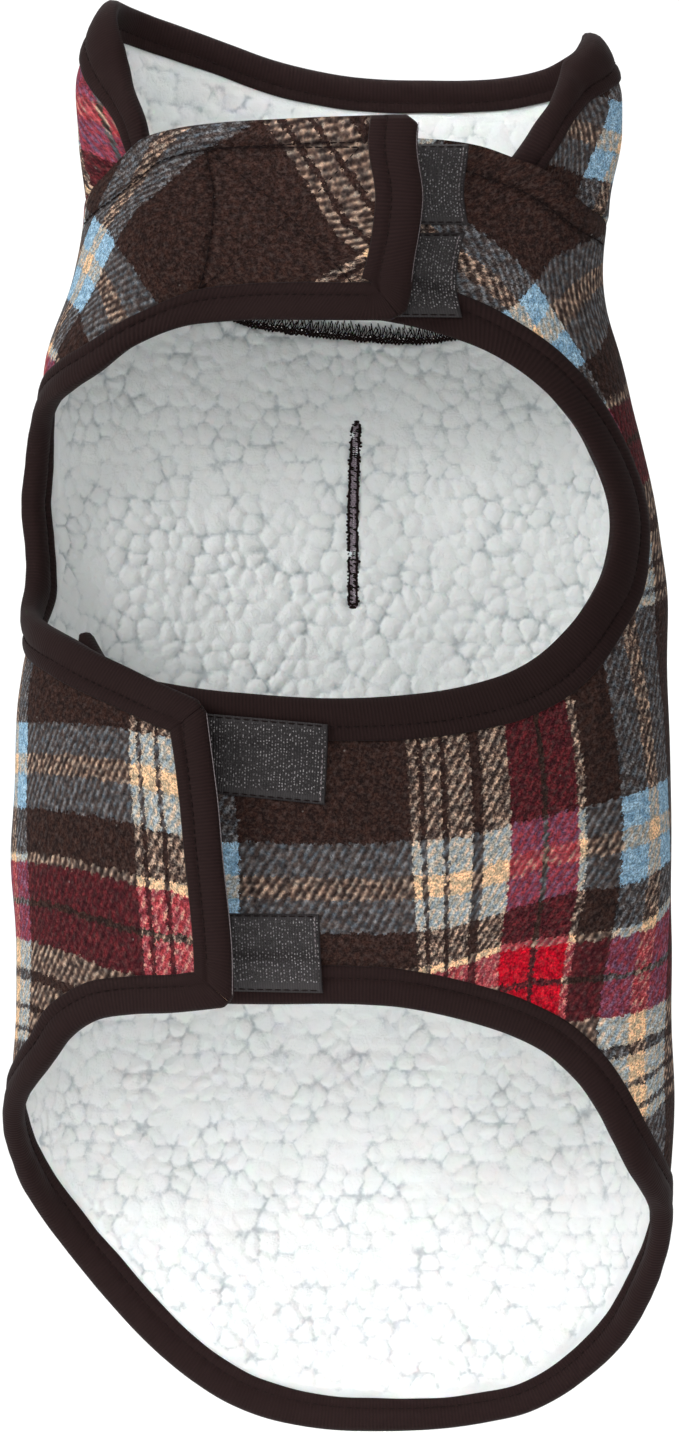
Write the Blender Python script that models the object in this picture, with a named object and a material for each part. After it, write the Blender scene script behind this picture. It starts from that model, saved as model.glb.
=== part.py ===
"""Dog winter coat: a plaid wool shell lined with sherpa, bound in ribbed knit, with hook-tape closures.

The coat stands neck up, filled out as if worn, its open belly side toward -Y and its back toward +Y.
The origin is on the lining at the withers, just ahead of the leash slot.

Every piece is cut on one flat pattern, in millimetres, and then wrapped round the tube of the body:
    across  distance round the tube from the middle of its back, growing toward +X
    up      height above the origin
    out     distance outward from the outer face of the plaid cloth
The plaid shell and its lining are one cut each: a back, two chest straps and two belly flaps.
Cloth on the left carries on past the middle of the front and laps over the cloth from the right.
"""
import math

import bmesh
import bpy
import numpy as np
from mathutils import Vector
from mathutils.geometry import delaunay_2d_cdt

MM = 0.001

# Cloth thicknesses and seams, mm
SHELL = 1.5
SEAM_GAP = 0.3
LINING = 3.2
LINING_AT_EDGE = 2.0
CLOTH = SHELL + SEAM_GAP + LINING
CLOTH_AT_EDGE = SHELL + SEAM_GAP + LINING_AT_EDGE

# Binding, mm: a knit strip folded over the edge of the cloth
BINDING_WIDTH = 9.5
BINDING_WALL = 1.2
BINDING_GAP = 0.7
BINDING_EASE = 0.6
MITRE_GAP = 0.25

# Hook tape and loop patch, mm
TAPE_GAP = 0.7
TAPE_WALL = 1.3
TAPE_STEP_OFF = 5.0
PATCH_WALL = 1.2

# How far the left straps and flaps stand above the right ones where they lap, mm
LAP = 10.8

# How far the collar's fronts tuck in behind the chest straps, mm
COLLAR_TUCK = 7.6
TUCK_BEGINS = 95.0
TUCK_ENDS = 124.0

# The side arcs' radius as a share of half the tube's depth
SIDE_ROUNDNESS = 0.85

# Spacing of the mesh, mm
EDGE_STEP = 12.0
CORNER_STEP = 20.0
ROW_STEP = 22.0
BACK_STEP = 23.0
SIDE_STEP = 12.0
FRONT_STEP = 14.0
SIDE_FROM = 69.0
FRONT_FROM = 170.0
INSET = 11.5
CLEAR_OF_EDGE = 7.0
RING_SPACING = 3.0
RING_KEPT_FROM = 9.2
CURVE_STEPS = 24
MITRE_LIMIT = 0.35
SHARP_ANGLE = 40.0

# The lining grows from its thickness at a bound edge to its full one between these distances in, mm
LINING_GROWS_FROM = 12.0
LINING_GROWS_TO = 23.5

# The tube of the body: where its sides and its front lie at each height, mm
TUBE = {
    "up": (-326, -260, -231, -208, -177, -137, -98, -76, -56, -36, -17, -4, 11, 34, 58, 81, 97, 108, 120),
    "left": (-110, -110, -109, -105.5, -104.5, -105.4, -104.2, -101.8, -104.5, -105.5, -101, -97, -94.5,
             -87, -83.5, -86, -85.5, -81.5, -75),
    "right": (100, 100.5, 101, 100.8, 100, 99.7, 98.8, 97.6, 96.5, 95, 91, 87.5, 83.5, 79.5, 80.6, 84.2,
              82.5, 75.5, 68),
    "front": (-75, -75, -76, -77, -78, -78, -77, -76, -75, -74, -72, -70, -67, -62, -58, -57, -55, -53,
              -50),
}

# Where the lap starts and ends, from left to right across the front, at two heights, mm
LAP_ZONE = {"up": (-75, 10), "starts": (-90, -46), "ends": (-38, 20)}

# The finished edges of the body, over its binding, clockwise from the left end of the neck seam, mm
NECK = {
    "across": (-98, -80, -62, -46, -30, -11, 3, 17, 30, 42, 60, 80, 98),
    "up": (58.5, 50, 39, 29, 21.5, 18, 16, 14.2, 14, 16.5, 26, 40, 52.3),
}
RIGHT_STRAP_TOP = {
    "across": (98, 116, 124, 136, 149, 163, 180, 205, 236),
    "up": (52.3, 56.5, 61, 68.5, 73, 77, 78.5, 80.5, 81),
}
RIGHT_STRAP_END = {"across": (236, 234, 241), "up": (81, 52, 24.5)}
RIGHT_LEG = {
    "across": (241, 215, 195, 182, 172, 164, 158, 154, 152.5, 152, 153, 156, 160, 166, 174, 185, 201, 226,
               247, 272, 292, 312, 330),
    "up": (24.5, 24, 22.5, 19, 14.5, 9, 2, -6, -16, -28, -39, -52, -60, -68, -77, -85, -91, -95, -96, -95,
           -92, -86, -77),
}
RIGHT_FLAP_END = {"across": (330, 333), "up": (-77, -188)}
HEM = {
    "across": (333, 300, 270, 248, 229, 210, 195, 184, 175, 166, 160, 153, 143, 131, 121, 110.5, 103, 96, 87,
               77, 64, 45, 17, -11, -30, -44, -63, -77, -91.5, -103, -116, -129, -141, -150, -159, -170,
               -190, -212),
    "up": (-188, -191, -192, -192, -193, -197, -202, -208, -217, -230, -239, -246, -252, -258, -267, -278,
           -286, -294, -302, -310, -317.5, -322, -324, -322, -317, -309.5, -293.5, -278, -262.5, -251, -238,
           -226, -218, -211, -202, -196.5, -194.5, -192),
}
LEFT_FLAP_END = {"across": (-212, -210.5, -207.5, -202), "up": (-192, -159, -125, -97.5)}
LEFT_LEG = {
    "across": (-202, -187, -175, -162, -148, -131, -117, -108.5, -105, -105.5, -107, -113, -126, -139, -146,
               -152, -160, -173, -200, -227),
    "up": (-97.5, -91, -86, -81, -77.5, -75, -72.5, -65, -51, -36, -22, -11, -3, 3.5, 10, 16, 19.8, 21.8,
           22.2, 22),
}
LEFT_STRAP_END = {"across": (-227, -218, -217, -223), "up": (22, 41, 60, 86)}
LEFT_STRAP_TOP = {
    "across": (-223, -199, -178, -159, -149, -138, -126, -112, -98),
    "up": (86, 85.5, 84.3, 83.3, 82, 79.5, 72, 64, 58.5),
}

# The finished edges of the collar, over its binding, clockwise from the bottom of its left front, mm
COLLAR_LEFT_FRONT = {
    "across": (-136.5, -136, -127.5, -111, -97, -90),
    "up": (67, 80, 93, 107.5, 118.5, 120.5),
}
COLLAR_TOP = {
    "across": (-90, -75, -63, -43, -22, 0, 26.5, 48, 61, 70, 80, 91),
    "up": (120.5, 119.7, 117, 110.3, 102.5, 97.7, 96.5, 97.2, 99.7, 103, 107, 111),
}
COLLAR_RIGHT_FRONT = {
    "across": (91, 101, 110, 130, 141, 147.5, 149),
    "up": (111, 108.5, 105, 96, 83, 72.5, 66),
}
COLLAR_SEAM_RIGHT = {"across": (149, 135, 124, 113, 98), "up": (66, 64.5, 62, 56.6, 52.7)}
COLLAR_SEAM_LEFT = {"across": (-98, -111, -124, -136.5), "up": (58.9, 64.8, 71.8, 67)}
COLLAR_SEAM_RISE = 0.4

# The leash slot: its ends, and how wide it lies open, mm
SLOT = {"across": (6.8, 4.4), "up": (-10.5, -67.5)}
SLOT_WIDTH = 1.6
SLOT_PIECES = 3

# Hook tape on the right strap and flap: top right, top left, bottom left and bottom right corners, mm
HOOK_TAPES = {
    "chest_hook_upper": {"across": (163, 218, 213, 157), "up": (76, 76, 51, 51)},
    "chest_hook_lower": {"across": (158, 212, 221, 167), "up": (48.5, 48.5, 23.5, 23)},
    "belly_hook_upper": {"across": (249, 299, 301.5, 251.5), "up": (-104.5, -100, -124.5, -129.5)},
    "belly_hook_lower": {"across": (253.5, 303.5, 302.5, 252.5), "up": (-163.5, -163, -187, -188)},
}
LOOP_PATCH = {"across": (-154, -198, -201, -157), "up": (73, 73, 35, 35)}
TAPE_PIECES = 5

# The largest soft folds: a ridge (height over 0) or trough across the cloth, mm and degrees
FOLDS = {
    "across": (112, 128, 96, -96, -120, -88, 60, -52, 8, 112, -97, 90),
    "up": (28, -62, -118, 12, -150, -182, -230, -262, -150, -196, -104, -300),
    "angle": (68, 28, 75, 105, 20, 165, 100, 60, 85, 12, 30, 60),
    "length": (58, 52, 90, 50, 60, 46, 90, 84, 120, 66, 44, 40),
    "width": (17, 17, 18, 16, 17, 16, 19, 18, 20, 16, 16, 16),
    "height": (-1.4, 1.5, -1.3, 1.3, 1.2, -1.1, 1.6, -1.3, -1.2, -1.3, -1.3, 1.1),
}

# Surface colours (linear red, green, blue), roughness
MATERIALS = {
    "plaid wool": ((0.034, 0.014, 0.012, 1.0), 0.95),
    "sherpa": ((0.72, 0.76, 0.76, 1.0), 0.9),
    "ribbed knit": ((0.018, 0.008, 0.008, 1.0), 0.7),
    "hook tape": ((0.05, 0.045, 0.05, 1.0), 0.55),
    "loop patch": ((0.02, 0.016, 0.016, 1.0), 0.85),
}


def columns(table, *names):
    """The named columns of a table, as arrays."""
    return [np.array(table[name], float) for name in names]


def on_curve(t, run, start, end, start_slope, end_slope):
    """The point t of the way along a smooth curve between two rows of a table."""
    from_start = (2 * t**3 - 3 * t**2 + 1) * start + (t**3 - 2 * t**2 + t) * run * start_slope
    from_end = (3 * t**2 - 2 * t**3) * end + (t**3 - t**2) * run * end_slope
    return from_start + from_end


def smooth_column(table, name, up):
    """A column of a table at any height, on a smooth curve through its rows."""
    heights, values = columns(table, "up", name)
    up = np.clip(up, heights[0], heights[-1])
    slope = np.gradient(values, heights)
    row = np.clip(np.searchsorted(heights, up) - 1, 0, len(heights) - 2)
    run = heights[row + 1] - heights[row]
    t = (up - heights[row]) / run
    return on_curve(t, run, values[row], values[row + 1], slope[row], slope[row + 1])


def ease(t):
    """0 below 0, 1 above 1 and a smooth step between them."""
    t = np.clip(t, 0.0, 1.0)
    return t * t * (3 - 2 * t)


def tube_section(up):
    """The oval of four arcs that the body has at each height, as named arrays."""
    left = smooth_column(TUBE, "left", up)
    right = smooth_column(TUBE, "right", up)
    front = smooth_column(TUBE, "front", up)
    half_width = (right - left) / 2
    half_depth = (CLOTH - front) / 2
    side = SIDE_ROUNDNESS * half_depth
    reach = half_width - side
    broad = (reach**2 + half_depth**2 - side**2) / (2 * (half_depth - side))
    turn = np.arctan2(reach, broad - half_depth)
    return {
        "middle": (left + right) / 2,
        "centre_y": (CLOTH + front) / 2,
        "half_depth": half_depth,
        "side": side,
        "reach": reach,
        "broad": broad,
        "turn": turn,
        "quarter": broad * turn + side * (math.pi / 2 - turn),
    }


def fold_height(across, up):
    """How far the soft folds move the cloth outward."""
    total = np.zeros_like(across)
    for a0, u0, angle, length, width, height in zip(
        *columns(FOLDS, "across", "up", "angle", "length", "width", "height")
    ):
        c = math.cos(math.radians(angle))
        s = math.sin(math.radians(angle))
        along = ((across - a0) * c + (up - u0) * s) / (length / 2)
        side = ((up - u0) * c - (across - a0) * s) / width
        total += height * np.exp(-side * side) * (1 - ease(np.abs(along)))
    return total


def wrap(across, up, out):
    """Points in space, in mm, of points of the flat pattern at a distance out from the plaid's face."""
    across = np.asarray(across, float)
    up = np.asarray(up, float)
    tube = tube_section(up)
    half_girth = 2 * tube["quarter"]
    signed = (across + half_girth) % (2 * half_girth) - half_girth
    side = np.where(signed < 0, -1.0, 1.0)
    run = np.abs(signed)
    on_front = run > tube["quarter"]
    run = np.where(on_front, half_girth - run, run)
    broad_run = tube["broad"] * tube["turn"]
    on_broad = run < broad_run
    psi = np.where(on_broad, run / tube["broad"], tube["turn"] + (run - broad_run) / tube["side"])
    radius = np.where(on_broad, tube["broad"], tube["side"])
    x = np.where(on_broad, 0, tube["reach"]) + radius * np.sin(psi)
    y = np.where(on_broad, tube["half_depth"] - tube["broad"], 0) + radius * np.cos(psi)
    facing = np.where(on_front, -1.0, 1.0)
    x = tube["middle"] + side * (x + out * np.sin(psi))
    y = tube["centre_y"] + facing * (y + out * np.cos(psi))
    return np.stack([x, y, up], axis=-1)


def body_rise(across, up):
    """How far the body's cloth stands off the tube: its folds, and its lap over or under at the front."""
    tube = tube_section(up)
    past_middle = np.abs(across) - 2 * tube["quarter"]
    on_left = across < 0
    x = tube["middle"] + np.where(on_left, past_middle, -past_middle)
    heights = LAP_ZONE["up"]
    starts = np.interp(up, heights, LAP_ZONE["starts"])
    ends = np.interp(up, heights, LAP_ZONE["ends"])
    share = ease((x - starts) / (ends - starts))
    return np.where(on_left, LAP * share, LAP * (share - 1)) + fold_height(across, up)


def collar_rise(across, up):
    """How far the collar stands off the tube: its fronts tuck in behind the chest straps."""
    share = ease((np.abs(across) - TUCK_BEGINS) / (TUCK_ENDS - TUCK_BEGINS))
    return -COLLAR_TUCK * share


def edge_points(table):
    """Evenly spaced points on a smooth curve through an edge's rows, with a longer step at each end.

    The longer steps keep a mitred corner's inner point clear of the points beside it.
    """
    rows = np.stack(columns(table, "across", "up"), axis=1)
    chords = np.linalg.norm(np.diff(rows, axis=0), axis=1)
    at = np.concatenate([[0], np.cumsum(chords)])
    slopes = np.gradient(rows, at, axis=0)
    fine = []
    for i in range(len(rows) - 1):
        for t in np.linspace(0, 1, CURVE_STEPS, endpoint=False):
            fine.append(on_curve(t, chords[i], rows[i], rows[i + 1], slopes[i], slopes[i + 1]))
    fine = np.array(fine + [rows[-1]])
    run = np.concatenate([[0], np.cumsum(np.linalg.norm(np.diff(fine, axis=0), axis=1))])
    pieces = max(1, round((run[-1] - 2 * CORNER_STEP) / EDGE_STEP))
    between = np.linspace(CORNER_STEP, run[-1] - CORNER_STEP, pieces + 1)
    wanted = np.concatenate([[0], between, [run[-1]]])
    return np.stack([np.interp(wanted, run, fine[:, 0]), np.interp(wanted, run, fine[:, 1])], axis=1)


def joined(edges):
    """One closed outline from edges that follow each other, and where each edge starts on it."""
    outline = []
    starts = []
    for edge in edges:
        starts.append(len(outline))
        outline.extend(edge[:-1])
    return np.array(outline), starts


def inward_mitres(outline):
    """At each point of a clockwise outline, the step that moves both its sides inward by 1 mm."""
    to_next = np.roll(outline, -1, axis=0) - outline
    to_next /= np.linalg.norm(to_next, axis=1, keepdims=True)
    normal = np.stack([to_next[:, 1], -to_next[:, 0]], axis=1)
    before = np.roll(normal, 1, axis=0)
    both = normal + before
    return both / (1 + np.sum(normal * before, axis=1, keepdims=True)).clip(MITRE_LIMIT)


def under_binding(outline, first, last):
    """The outline with its bound stretch, from one point to another, moved in to lie in the binding's fold."""
    step = inward_mitres(outline)
    for end, neighbour in ((first, first + 1), (last, last - 1)):
        along = outline[neighbour % len(outline)] - outline[end % len(outline)]
        across = np.array([along[1], -along[0]]) / np.linalg.norm(along)
        step[end % len(outline)] = across if neighbour > end else -across
    moved = outline.copy()
    for i in range(first, last + 1):
        moved[i % len(outline)] += (BINDING_GAP + BINDING_WALL) * step[i % len(outline)]
    return moved


def inside(outline, points):
    """Which points lie inside a closed outline."""
    found = np.zeros(len(points), bool)
    x = points[:, 0]
    y = points[:, 1]
    for (x0, y0), (x1, y1) in zip(outline, np.roll(outline, -1, axis=0)):
        crosses = (y0 > y) != (y1 > y)
        if crosses.any():
            found ^= crosses & (x < (x1 - x0) * (y - y0) / (y1 - y0 + 1e-12) + x0)
    return found


def distance_to(outline, points):
    """How far each point is from a closed outline."""
    nearest = np.full(len(points), np.inf)
    for start, end in zip(outline, np.roll(outline, -1, axis=0)):
        side = end - start
        share = ((points - start) @ side / (side @ side)).clip(0, 1)
        nearest = np.minimum(nearest, np.linalg.norm(points - start - share[:, None] * side, axis=1))
    return nearest


def grid_columns(low, high):
    """Column places across the pattern, closer together where the body turns round its sides."""
    places = [0.0]
    while places[-1] < max(high, -low):
        at = places[-1]
        step = BACK_STEP if at < SIDE_FROM else SIDE_STEP if at < FRONT_FROM else FRONT_STEP
        places.append(at + step)
    return sorted({sign * place for place in places for sign in (-1, 1) if low < sign * place < high})


def cut_pattern(outline, slot=None):
    """Triangles of a flat pattern: its points (across, up), its triangles, its loops of edge."""
    low = outline.min(axis=0)
    high = outline.max(axis=0)
    ring = outline + INSET * inward_mitres(outline)
    ring = ring[inside(outline, ring) & (distance_to(outline, ring) > RING_KEPT_FROM)]
    kept = []
    for point in ring:
        if all(np.linalg.norm(point - other) > RING_SPACING for other in kept):
            kept.append(point)
    rows = np.arange(high[1] - ROW_STEP / 2, low[1], -ROW_STEP)
    grid = np.array([(a, u) for u in rows for a in grid_columns(low[0], high[0])])
    grid = grid[inside(outline, grid) & (distance_to(outline, grid) > INSET + CLEAR_OF_EDGE)]
    if slot is not None:
        grid = grid[distance_to(slot, grid) > CLEAR_OF_EDGE]
    loops = [outline] if slot is None else [outline, slot]
    points = [Vector(p) for loop in loops for p in loop]
    edges = []
    first = 0
    for loop in loops:
        edges += [(first + i, first + (i + 1) % len(loop)) for i in range(len(loop))]
        first += len(loop)
    points += [Vector(p) for p in kept] + [Vector(p) for p in grid]
    found, _, triangles, _, _, _ = delaunay_2d_cdt(points, edges, [], 0, 1e-5)
    flat = np.array([tuple(p) for p in found])
    centres = np.array([flat[list(t)].mean(axis=0) for t in triangles])
    keep = inside(outline, centres)
    if slot is not None:
        keep &= ~inside(slot, centres)
    return flat, [tuple(t) for t, k in zip(triangles, keep) if k]


def make_object(name, points, faces, material):
    """A named object from points in mm and faces, turned so that its faces look outward."""
    mesh = bpy.data.meshes.new(name)
    mesh.from_pydata([tuple(MM * p) for p in points], [], faces)
    bm = bmesh.new()
    bm.from_mesh(mesh)
    loose = [v for v in bm.verts if not v.link_faces]
    bmesh.ops.delete(bm, geom=loose, context="VERTS")
    bmesh.ops.triangulate(bm, faces=bm.faces)
    bmesh.ops.recalc_face_normals(bm, faces=bm.faces)
    bm.to_mesh(mesh)
    bm.free()
    mesh.materials.append(material)
    mesh.shade_smooth()
    mesh.set_sharp_from_angle(angle=math.radians(SHARP_ANGLE))
    thing = bpy.data.objects.new(name, mesh)
    bpy.context.collection.objects.link(thing)
    return thing


def lining_thickness(bound, points):
    """How thick the lining is at each point, from its thin bound edge to its full pile."""
    grown = (distance_to(bound, points) - LINING_GROWS_FROM) / (LINING_GROWS_TO - LINING_GROWS_FROM)
    return LINING_AT_EDGE + (LINING - LINING_AT_EDGE) * grown.clip(0, 1)


def cloth_wall(name, flat, triangles, rise, outer, inner, material):
    """A closed wall of cloth between two distances out, each a number or one for each point."""
    across = flat[:, 0]
    up = flat[:, 1]
    lift = rise(across, up)
    points = np.concatenate([wrap(across, up, lift + outer), wrap(across, up, lift + inner)])
    count = len(flat)
    faces = list(triangles)
    faces += [(c + count, b + count, a + count) for a, b, c in triangles]
    sides = {}
    for a, b, c in triangles:
        for start, end in ((a, b), (b, c), (c, a)):
            sides[(start, end)] = True
    for start, end in sides:
        if (end, start) not in sides:
            faces.append((end, start, start + count, end + count))
    return make_object(name, points, faces, material)


def binding_section(edge_cloth):
    """The folded strip's outline, as (distance in from the cloth's edge, distance out) in mm."""
    gap = BINDING_GAP
    fold = gap + BINDING_WALL
    return [
        (BINDING_WIDTH, gap),
        (-gap, gap),
        (-gap, -edge_cloth - gap),
        (BINDING_WIDTH, -edge_cloth - gap - BINDING_EASE),
        (BINDING_WIDTH, -edge_cloth - fold - BINDING_EASE),
        (0.0, -edge_cloth - fold),
        (-fold, -edge_cloth - gap),
        (-fold, gap),
        (0.0, fold),
        (BINDING_WIDTH, fold),
    ]


def splits_forward(near, near_next, far, far_next):
    """Whether the shorter way to split a strip's quad runs from near to far_next, as its cloth is split."""

    def corner(at, one, other):
        a = one - at
        b = other - at
        return math.acos(np.clip(a @ b / np.linalg.norm(a) / np.linalg.norm(b), -1, 1))

    return corner(near_next, near, far_next) + corner(far, near, far_next) < math.pi


def binding(name, outline, mitres, first, last, rise, material):
    """A binding along an outline, from one of its points to another, mitred where it ends."""
    section = binding_section(CLOTH_AT_EDGE)
    stations = [i % len(outline) for i in range(first, last + 1)]
    rows = []
    for order, i in enumerate(stations):
        at = outline[i].copy()
        if order == 0:
            ahead = outline[stations[1]] - at
            at += MITRE_GAP * ahead / np.linalg.norm(ahead)
        if order == len(stations) - 1:
            behind = outline[stations[-2]] - at
            at += MITRE_GAP * behind / np.linalg.norm(behind)
        rows.append([(*(at + depth * mitres[i]), out) for depth, out in section])
    rows = np.array(rows)
    across = rows[..., 0].ravel()
    up = rows[..., 1].ravel()
    out = rows[..., 2].ravel()
    points = wrap(across, up, out + rise(across, up))
    size = len(section)
    faces = []
    for row in range(len(rows) - 1):
        near, near_next = (outline[stations[row + k]] for k in (0, 1))
        far, far_next = (outline[stations[row + k]] + INSET * mitres[stations[row + k]] for k in (0, 1))
        forward = splits_forward(near, near_next, far, far_next)
        for i in range(size):
            j = (i + 1) % size
            inner, outer = (j, i) if section[j][0] > section[i][0] else (i, j)
            a, b = row * size + outer, row * size + inner
            c, d = b + size, a + size
            faces += [(a, b, c), (a, c, d)] if forward else [(a, b, d), (b, c, d)]
    end = (len(rows) - 1) * size
    faces += [tuple(range(size)), tuple(range(end + size - 1, end - 1, -1))]
    return make_object(name, points, faces, material)


def tape(name, corners, inner, wall, rise, material):
    """A flat tape laid on the cloth: inner gives its near face's distance out at each of its points."""
    across, up = columns(corners, "across", "up")
    corner = np.stack([across, up], axis=1)
    points = []
    for v in np.linspace(0, 1, TAPE_PIECES + 1):
        for u in np.linspace(0, 1, TAPE_PIECES + 1):
            top = corner[0] * (1 - u) + corner[1] * u
            bottom = corner[3] * (1 - u) + corner[2] * u
            points.append(top * (1 - v) + bottom * v)
    flat = np.array(points)
    n = TAPE_PIECES + 1
    triangles = []
    for row in range(TAPE_PIECES):
        for col in range(TAPE_PIECES):
            a = row * n + col
            triangles += [(a, a + 1, a + n + 1), (a, a + n + 1, a + n)]
    near = inner(flat)
    return cloth_wall(name, flat, triangles, rise, near + wall, near, material)


def make_materials():
    """One material for each kind of cloth."""
    made = {}
    for name, (colour, roughness) in MATERIALS.items():
        material = bpy.data.materials.new(name)
        material.use_nodes = True
        shader = material.node_tree.nodes["Principled BSDF"]
        shader.inputs["Base Color"].default_value = colour
        shader.inputs["Roughness"].default_value = roughness
        shader.inputs["Metallic"].default_value = 0.0
        made[name] = material
    return made


def slot_outline():
    """The leash slot's closed outline on the pattern."""
    across, up = columns(SLOT, "across", "up")
    share = np.linspace(0, 1, SLOT_PIECES + 1)
    middle = np.stack([np.interp(share, (0, 1), across), np.interp(share, (0, 1), up)], axis=1)
    half = np.array([SLOT_WIDTH / 2, 0])
    return np.concatenate([middle - half, (middle + half)[::-1]])


def make_body(materials):
    """The body's shell and lining, its bindings, and the tapes on its straps and flaps."""
    edges = [
        edge_points(edge)
        for edge in (NECK, RIGHT_STRAP_TOP, RIGHT_STRAP_END, RIGHT_LEG, RIGHT_FLAP_END, HEM,
                     LEFT_FLAP_END, LEFT_LEG, LEFT_STRAP_END, LEFT_STRAP_TOP)
    ]
    outline, starts = joined(edges)
    outline = under_binding(outline, starts[2], starts[9])
    flat, triangles = cut_pattern(outline, slot_outline())
    bound = outline[starts[2]:starts[9] + 1]
    cloth_wall("body_shell", flat, triangles, body_rise, 0.0, -SHELL, materials["plaid wool"])
    outer = -SHELL - SEAM_GAP
    inner = outer - lining_thickness(bound, flat)
    cloth_wall("body_lining", flat, triangles, body_rise, outer, inner, materials["sherpa"])

    mitres = inward_mitres(outline)
    names = ("chest_end_binding_right", "leg_binding_right", "belly_end_binding_right", "hem_binding",
             "belly_end_binding_left", "leg_binding_left", "chest_end_binding_left")
    for name, first, last in zip(names, starts[2:9], starts[3:10]):
        binding(name, outline, mitres, first, last, body_rise, materials["ribbed knit"])

    def on_cloth(points):
        """Just above the cloth, and above the binding where a tape crosses it."""
        off_binding = ease((distance_to(bound, points) - BINDING_WIDTH - TAPE_STEP_OFF) / TAPE_STEP_OFF)
        return TAPE_GAP + (BINDING_GAP + BINDING_WALL) * (1 - off_binding)

    def under_lining(points):
        """Just inside the lining."""
        return np.full(len(points), -CLOTH - SEAM_GAP - PATCH_WALL)

    for name, corners in HOOK_TAPES.items():
        tape(name, corners, on_cloth, TAPE_WALL, body_rise, materials["hook tape"])
    tape("chest_loop_patch", LOOP_PATCH, under_lining, PATCH_WALL, body_rise, materials["loop patch"])


def make_collar(materials):
    """The stand collar's shell and lining, and the binding round its fronts and top."""
    neck = edge_points(NECK)[::-1] + np.array([0, COLLAR_SEAM_RISE])
    right = edge_points(COLLAR_SEAM_RIGHT)
    left = edge_points(COLLAR_SEAM_LEFT)
    edges = [edge_points(edge) for edge in (COLLAR_LEFT_FRONT, COLLAR_TOP, COLLAR_RIGHT_FRONT)]
    seam = np.concatenate([right[:-1], neck, left[1:]])
    outline, starts = joined(edges + [seam])
    outline = under_binding(outline, starts[0], starts[3])
    flat, triangles = cut_pattern(outline)
    bound = outline[starts[0]:starts[3] + 1]
    cloth_wall("collar_shell", flat, triangles, collar_rise, 0.0, -SHELL, materials["plaid wool"])
    outer = -SHELL - SEAM_GAP
    inner = outer - lining_thickness(bound, flat)
    cloth_wall("collar_lining", flat, triangles, collar_rise, outer, inner, materials["sherpa"])
    mitres = inward_mitres(outline)
    binding("collar_binding", outline, mitres, starts[0], starts[3], collar_rise,
            materials["ribbed knit"])


def main():
    for thing in list(bpy.data.objects):
        bpy.data.objects.remove(thing, do_unlink=True)
    materials = make_materials()
    make_body(materials)
    make_collar(materials)


main()
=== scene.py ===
"""Dog winter coat: the visible cloth, bindings, tapes and stitches, and the studio round them.

Every piece is cut on one flat pattern, in millimetres, and wrapped round the tube of the body:
    across  distance round the tube from the middle of its back, growing toward +X
    up      height above the origin
    out     distance outward from the outer face of the plaid cloth
"""
import math

import bpy
import numpy as np
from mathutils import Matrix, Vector
from mathutils.geometry import delaunay_2d_cdt
from mathutils.kdtree import KDTree


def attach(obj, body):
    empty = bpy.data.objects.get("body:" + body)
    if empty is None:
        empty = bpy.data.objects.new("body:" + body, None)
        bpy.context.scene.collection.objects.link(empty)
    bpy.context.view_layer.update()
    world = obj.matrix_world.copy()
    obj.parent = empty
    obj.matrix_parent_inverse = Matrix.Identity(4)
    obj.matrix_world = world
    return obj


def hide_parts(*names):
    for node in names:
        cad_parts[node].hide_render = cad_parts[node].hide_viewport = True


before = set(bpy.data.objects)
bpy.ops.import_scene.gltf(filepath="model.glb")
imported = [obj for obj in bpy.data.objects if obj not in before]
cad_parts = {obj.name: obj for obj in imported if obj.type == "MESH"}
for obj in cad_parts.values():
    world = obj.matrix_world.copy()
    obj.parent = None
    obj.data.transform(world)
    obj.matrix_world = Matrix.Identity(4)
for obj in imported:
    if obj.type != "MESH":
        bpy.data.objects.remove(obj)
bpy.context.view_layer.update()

bl_info = {
    "name": "Dog winter coat",
    "version": (1, 0, 0),
    "blender": (4, 5, 0),
    "location": "View3D > Sidebar > Coat",
    "description": "Makes the cloth, bindings, tapes and stitches of a lined plaid dog coat",
    "category": "Object",
}

MM = 0.001

# The cloth's layers as they are in the model, mm
SHELL = 1.5
SEAM_GAP = 0.3
LINING = 3.2
LINING_AT_EDGE = 2.0
CLOTH = SHELL + SEAM_GAP + LINING

# How far the left strap and flap stand over the right ones, and the collar's fronts behind them,
# and how far round from the back the collar starts and ends to tuck in, mm
LAP = 10.8
COLLAR_TUCK = 7.6
TUCK_BEGINS = 95.0
TUCK_ENDS = 124.0

# How high the slow waves of both cloths are, mm
BODY_WAVES = 0.35
COLLAR_WAVES = 0.4

# The radius of the body's sides, as a share of half its depth
SIDE_ROUNDNESS = 0.85

# Steps between points on the cuts' edges, along them and beside their corners, mm; how finely
# their curves are worked out; and the limit that keeps a sharp corner's mitre short
EDGE_STEP = 12.0
CORNER_STEP = 20.0
CURVE_STEPS = 24
SMOOTH_STEP = 1.4
MITRE_LIMIT = 0.35

# The tube of the body: where its sides and its front lie at each height, mm
TUBE = {
    "up": (-326, -260, -231, -208, -177, -137, -98, -76, -56, -36, -17, -4, 11, 34, 58, 81, 97, 108,
            120),
    "left": (-108.5, -108.6, -108.2, -105.3, -104.5, -105.4, -104.2, -101.8, -104.7, -106.2, -101.8,
            -97.4, -94.5, -87, -83.5, -86, -86.2, -83, -77.5),
    "right": (98, 98.6, 100.4, 100.6, 100, 99.7, 98.8, 97.6, 96.3, 94.7, 90.6, 87.1, 83.2, 79.2,
            80.6, 84.4, 83.8, 78, 71),
    "front": (-75, -75, -76, -77, -78, -78, -77, -76, -75, -74, -72, -70, -67, -62, -58, -57, -55,
            -53, -50),
}

# Where the lap starts and ends, from left to right across the front, at two heights, mm
LAP_ZONE = {
    "up": (-75, 10),
    "starts": (-90, -46),
    "ends": (-38, 20),
}

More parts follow.
